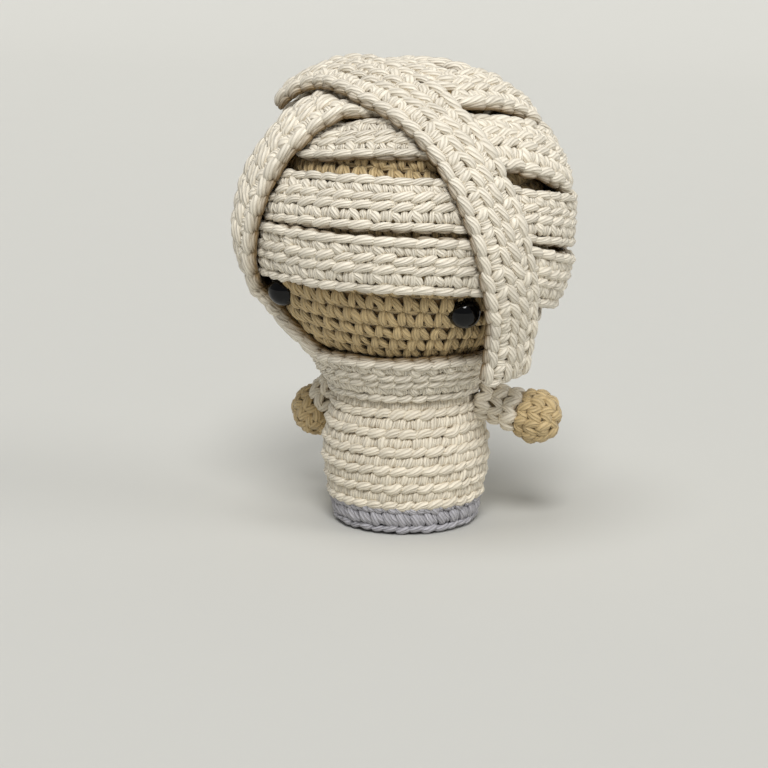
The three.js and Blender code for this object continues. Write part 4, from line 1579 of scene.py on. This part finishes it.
@dataclass
class Arm:
    """One arm: a cream sleeve sewn to the shoulder and a round hand, both of V stitches, and its filling.
    It points the way of its azimuth and hangs by its droop, in degrees. The sleeve's root is how much
    narrower it is there and how far that lies past the seam, its narrowings are the same at places along
    the arm, and its insets and the hand's are those of the cloth and of the stitches. The tuft is radius
    and height of the filling's outline, along the arm from the hinge."""

    side: str
    azimuth: float
    droop: float
    body: Body
    seed: int
    hinge_radius: float
    hinge_height: float
    length: float = 11.25
    hand_radius: float = 6.3
    hand_overlap: float = 0.86
    wrist_sine: float = 0.74
    sleeve_radius: float = 5.4
    root_radius: float = 3.7
    sleeve_root: tuple[float, float] = (0.4, 0.3)
    sleeve_narrowings: tuple[tuple[float, float], ...] = ((0.8, -1.0), (0.8, 2.6), (0.3, 5.0))
    wrist_past: float = 1.4
    sleeve_insets: tuple[float, float] = (1.5, 0.9)
    hand_insets: tuple[float, float] = (1.4, 0.85)
    sleeve_rows_past: float = 1.5
    hand_rows_short: float = 1.2
    bend_start: float = 0.5
    bend_end: float = 2.5
    row_height: float = 3.2
    row_shift: float = 0.4
    stitch_width: float = 3.6
    stitch_thick: float = 0.94
    stitch_shade: tuple[float, float] = (-0.5, 0.9)
    fewest_stitches: int = 4
    fill: float = 0.9
    tuft: tuple[tuple[float, float], ...] = (
        (0.0, 1.5), (2.0, 1.6), (2.4, 2.4), (2.4, 10.0), (1.8, 13.0), (0.0, 14.2))

    def __post_init__(self) -> None:
        """Works out the hinge's place and the arm's own ways."""
        droop, spoke = np.radians(self.droop), bearing(np.radians(self.azimuth))
        self.hinge = spoke * self.hinge_radius + UP * self.hinge_height
        self.axis = spoke * np.cos(droop) - UP * np.sin(droop)
        self.start = unit(UP - self.axis * np.dot(UP, self.axis))
        self.quarter = np.cross(self.axis, self.start)
        self.sleeve_end = self.length - self.hand_overlap * self.hand_radius

    def sleeve_line(self, inset: float, steps: int) -> Array:
        """The sleeve's outline from where it is sewn on to the wrist: the smooth curve through its widths.

        Args:
            inset: how far it is set in.
            steps: how many points it has.

        Returns:
            Radius and height of its points along the arm.
        """
        narrowing, past = self.sleeve_root
        root = (self.sleeve_radius - narrowing, -self.root_radius - past)
        between = [(self.sleeve_radius - less, place) for less, place in self.sleeve_narrowings]
        knots = np.array([root, *between, (self.sleeve_radius, self.sleeve_end + self.wrist_past)])
        return spline_weights(len(knots), steps) @ knots - np.array([inset, 0.0])

    def hand_line(self, inset: float, steps: int) -> Array:
        """The hand's outline from the wrist to its tip: a circle.

        Args:
            inset: how far it is set in.
            steps: how many points it has.

        Returns:
            Radius and height of its points along the arm.
        """
        angle = np.linspace(np.arcsin(self.wrist_sine), np.pi, steps)
        radius = (self.hand_radius - inset) * np.sin(angle)
        radius[-1] = 0.0
        return np.stack([radius, self.length - (self.hand_radius - inset) * np.cos(angle)], 1)

    def _turned(self, name: str, profile: Array) -> bpy.types.Object:
        """A shell turned about the arm."""
        return revolve(name, profile, SMALL_SIDES, self.hinge, self.start, self.quarter)

    def _ground(self, line: Array) -> TurnedGround:
        """The surface that an outline makes when it is turned about the arm."""
        return TurnedGround(line, self.hinge, self.start, self.quarter)

    def _rows(self, ground: TurnedGround, seed: int, length: float) -> YarnHeap:
        """Rows of stitches round a surface, each row with as many as fit it.

        Args:
            ground: the surface.
            seed: the seed of their unevenness.
            length: how much of the surface they cover, along the arm.

        Returns:
            The heap of their yarn.
        """
        heap = YarnHeap(seed, *self.stitch_shade)
        rows = max(1, int(round(length / self.row_height)))
        height = length / rows
        for row in range(rows):
            radius = float(np.interp((row + 0.5) * height, ground.reach, ground.profile[:, 0]))
            count = max(self.fewest_stitches, int(round(TURN * radius / self.stitch_width)))
            cells = np.arange(count) + self.row_shift * row
            for strand in ARM_STITCH:
                heap.lay(ground, strand, cells, TURN / count, row * height, height, thick=self.stitch_thick)
        return heap

    def sleeve(self) -> None:
        """The sleeve's cloth and stitches, put on no body."""
        node = f"{self.side}_sleeve"
        inset, stitch_inset = self.sleeve_insets
        outer = self.sleeve_line(inset, 18)
        profile = np.concatenate([[[0.0, outer[0, 1]]], outer, [[0.0, outer[-1, 1]]]])
        cloth = finish_piece(self._turned(f"{node}_cloth", profile), SHADED_CREAM_FELT, Slot.CREAM, None, node)
        rows = self._rows(self._ground(self.sleeve_line(stitch_inset, 40)), self.seed,
                          self.sleeve_end + self.root_radius + self.sleeve_rows_past)
        yarn = finish_piece(rows.write(f"{node}_stitches"), CREAM_YARN, Slot.CREAM, None, node)
        for made in (cloth, yarn):
            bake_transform(made)

    def hand(self) -> None:
        """The hand's cloth and stitches."""
        node = f"{self.side}_hand"
        inset, stitch_inset = self.hand_insets
        outer = self.hand_line(inset, 20)
        profile = np.concatenate([[[0.0, outer[0, 1]]], outer])
        cloth = finish_piece(self._turned(f"{node}_cloth", profile), SHADED_TAN_FELT, Slot.TAN, self.body, node)
        ground = self._ground(self.hand_line(stitch_inset, 60))
        rows = self._rows(ground, self.seed + 1, ground.length - self.hand_rows_short)
        finish_piece(rows.write(f"{node}_stitches"), TAN_YARN, Slot.TAN, self.body, node)

    def filling(self) -> None:
        """The fibre inside the arm."""
        made = finish_piece(self._turned(f"{self.side}_arm_filling", np.array(self.tuft)), FILL_FELT,
                            Slot.FILL, self.body, f"{self.side}_arm_stuffing")

    def build(self) -> None:
        """Makes the arm's pieces."""
        self.sleeve()
        self.hand()
        self.filling()


@dataclass(frozen=True)
class Sun:
    """A soft far lamp: its azimuth from the doll's face towards its left, its elevation and how wide it
    looks, all in degrees, and its strength in watts a square metre."""

    name: str
    azimuth: float
    elevation: float
    spread: float
    strength: float

    def build(self) -> None:
        """Puts the lamp in the scene."""
        data = bpy.data.lights.new(self.name, "SUN")
        data.energy, data.angle = self.strength, float(np.radians(self.spread))
        made = bpy.data.objects.new(self.name, data)
        bpy.context.scene.collection.objects.link(made)
        made.location = Vector(bearing(np.radians(self.azimuth), np.radians(self.elevation)))
        made.rotation_euler = made.location.to_track_quat("Z", "Y").to_euler()


@dataclass(frozen=True)
class Studio:
    """The camera, the lights, and the pale floor that rises into a backdrop. The camera's place is in
    metres, and the floor's sizes are in millimetres."""

    camera_place: tuple[float, float, float] = (0.22409, -0.70785, 0.20663)
    camera_azimuth: float = 18.0
    camera_elevation: float = 13.0
    lens: float = 138.3
    sensor: float = 36.0
    sight: tuple[float, float] = (0.01, 20.0)
    suns: tuple[Sun, ...] = (
        Sun("key_sun", 20.0, 48.0, 20.0, 1.78),
        Sun("crown_sun", -24.0, 76.0, 30.0, 0.95),
        Sun("side_sun", 88.0, 28.0, 30.0, 0.6),
    )
    world_colour: tuple[float, float, float, float] = (0.97, 0.98, 1.0, 1.0)
    world_level: float = 0.24
    floor_colour: tuple[float, float, float] = (203, 202, 196)
    floor_grain_colour: tuple[float, float, float, float] = (0.5, 0.5, 0.47, 1.0)
    floor_grain: float = 60.0
    floor_grain_share: float = 0.05
    floor_roughness: float = 0.9
    floor_drop: float = 0.2
    floor_half_width: float = 2500.0
    floor_front: tuple[float, ...] = (-1500.0, -200.0, 200.0)
    bend_start: float = 900.0
    bend_radius: float = 500.0
    backdrop_top: float = 2200.0

    def camera(self) -> None:
        """The camera, looking at the doll from a little above its left side."""
        data = bpy.data.cameras.new("camera")
        data.lens = self.lens
        data.sensor_width = self.sensor
        data.clip_start, data.clip_end = self.sight
        made = bpy.data.objects.new("camera", data)
        bpy.context.scene.collection.objects.link(made)
        back = Vector(bearing(np.radians(self.camera_azimuth), np.radians(self.camera_elevation)))
        made.location = self.camera_place
        made.rotation_euler = (-back).to_track_quat("-Z", "Y").to_euler()
        bpy.context.scene.camera = made

    def floor(self) -> None:
        """The floor and backdrop: a flat sheet that turns up behind the doll along a quarter circle."""
        turn = np.radians(np.linspace(0, 90, 16))
        run = np.concatenate([self.floor_front, self.bend_start + self.bend_radius * np.sin(turn),
                              [self.bend_start + self.bend_radius]])
        rise = np.concatenate([np.zeros(len(self.floor_front)), self.bend_radius * (1 - np.cos(turn)),
                               [self.backdrop_top]])
        across = np.array([-self.floor_half_width, 0.0, self.floor_half_width])
        shape = (len(across), len(run))
        points = np.stack([np.broadcast_to(across[:, None], shape), np.broadcast_to(run, shape),
                           np.broadcast_to(rise - self.floor_drop, shape)], -1)
        count = len(run)
        i, j = np.meshgrid(np.arange(2), np.arange(count - 1), indexing="ij")
        low = (i * count + j).ravel()
        made = write_mesh("studio_floor", points.reshape(-1, 3),
                          [np.stack([low, low + count, low + count + 1, low + 1], -1)])
        board = Board("studio_paper")
        grain = board.noise(board.node("ShaderNodeTexCoord").outputs["Object"], self.floor_grain)
        colour = board.mix(board.math("MULTIPLY", grain, self.floor_grain_share), linear(self.floor_colour),
                           self.floor_grain_colour)
        made.data.materials.append(board.shade(Base_Color=colour, Roughness=self.floor_roughness))

    def world(self) -> None:
        """The even light from all round."""
        world = bpy.data.worlds.new("studio_world")
        world.use_nodes = True
        background = world.node_tree.nodes["Background"]
        background.inputs[0].default_value = self.world_colour
        background.inputs[1].default_value = self.world_level
        bpy.context.scene.world = world
        bpy.context.scene.view_settings.view_transform = "Standard"

    def build(self) -> None:
        """Sets up the studio."""
        self.camera()
        self.floor()
        for sun in self.suns:
            sun.build()
        self.world()


def main() -> None:
    """Builds the studio and the doll. Both arms are sewn on at the height and the distance from the middle
    that the left one's joint has."""
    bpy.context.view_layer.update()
    Studio().build()
    wrap = BandageWrap(BANDAGES)
    HeadBall(wrap).build()
    Torso().build()
    places = {joint["name"]: np.array(joint["pos_m"]) / MM for joint in frame["joints"]}
    left, ahead, height = (float(value) for value in places["left_arm_swing"])
    reach = float(np.hypot(left, ahead))
    Arm("left", 95.0, 15.0, Body.LEFT_ARM, 61, reach, height).build()
    Arm("right", -114.0, 44.0, Body.RIGHT_ARM, 71, reach, height).build()
    wrap.build()


if __name__ == "__main__":
    main()
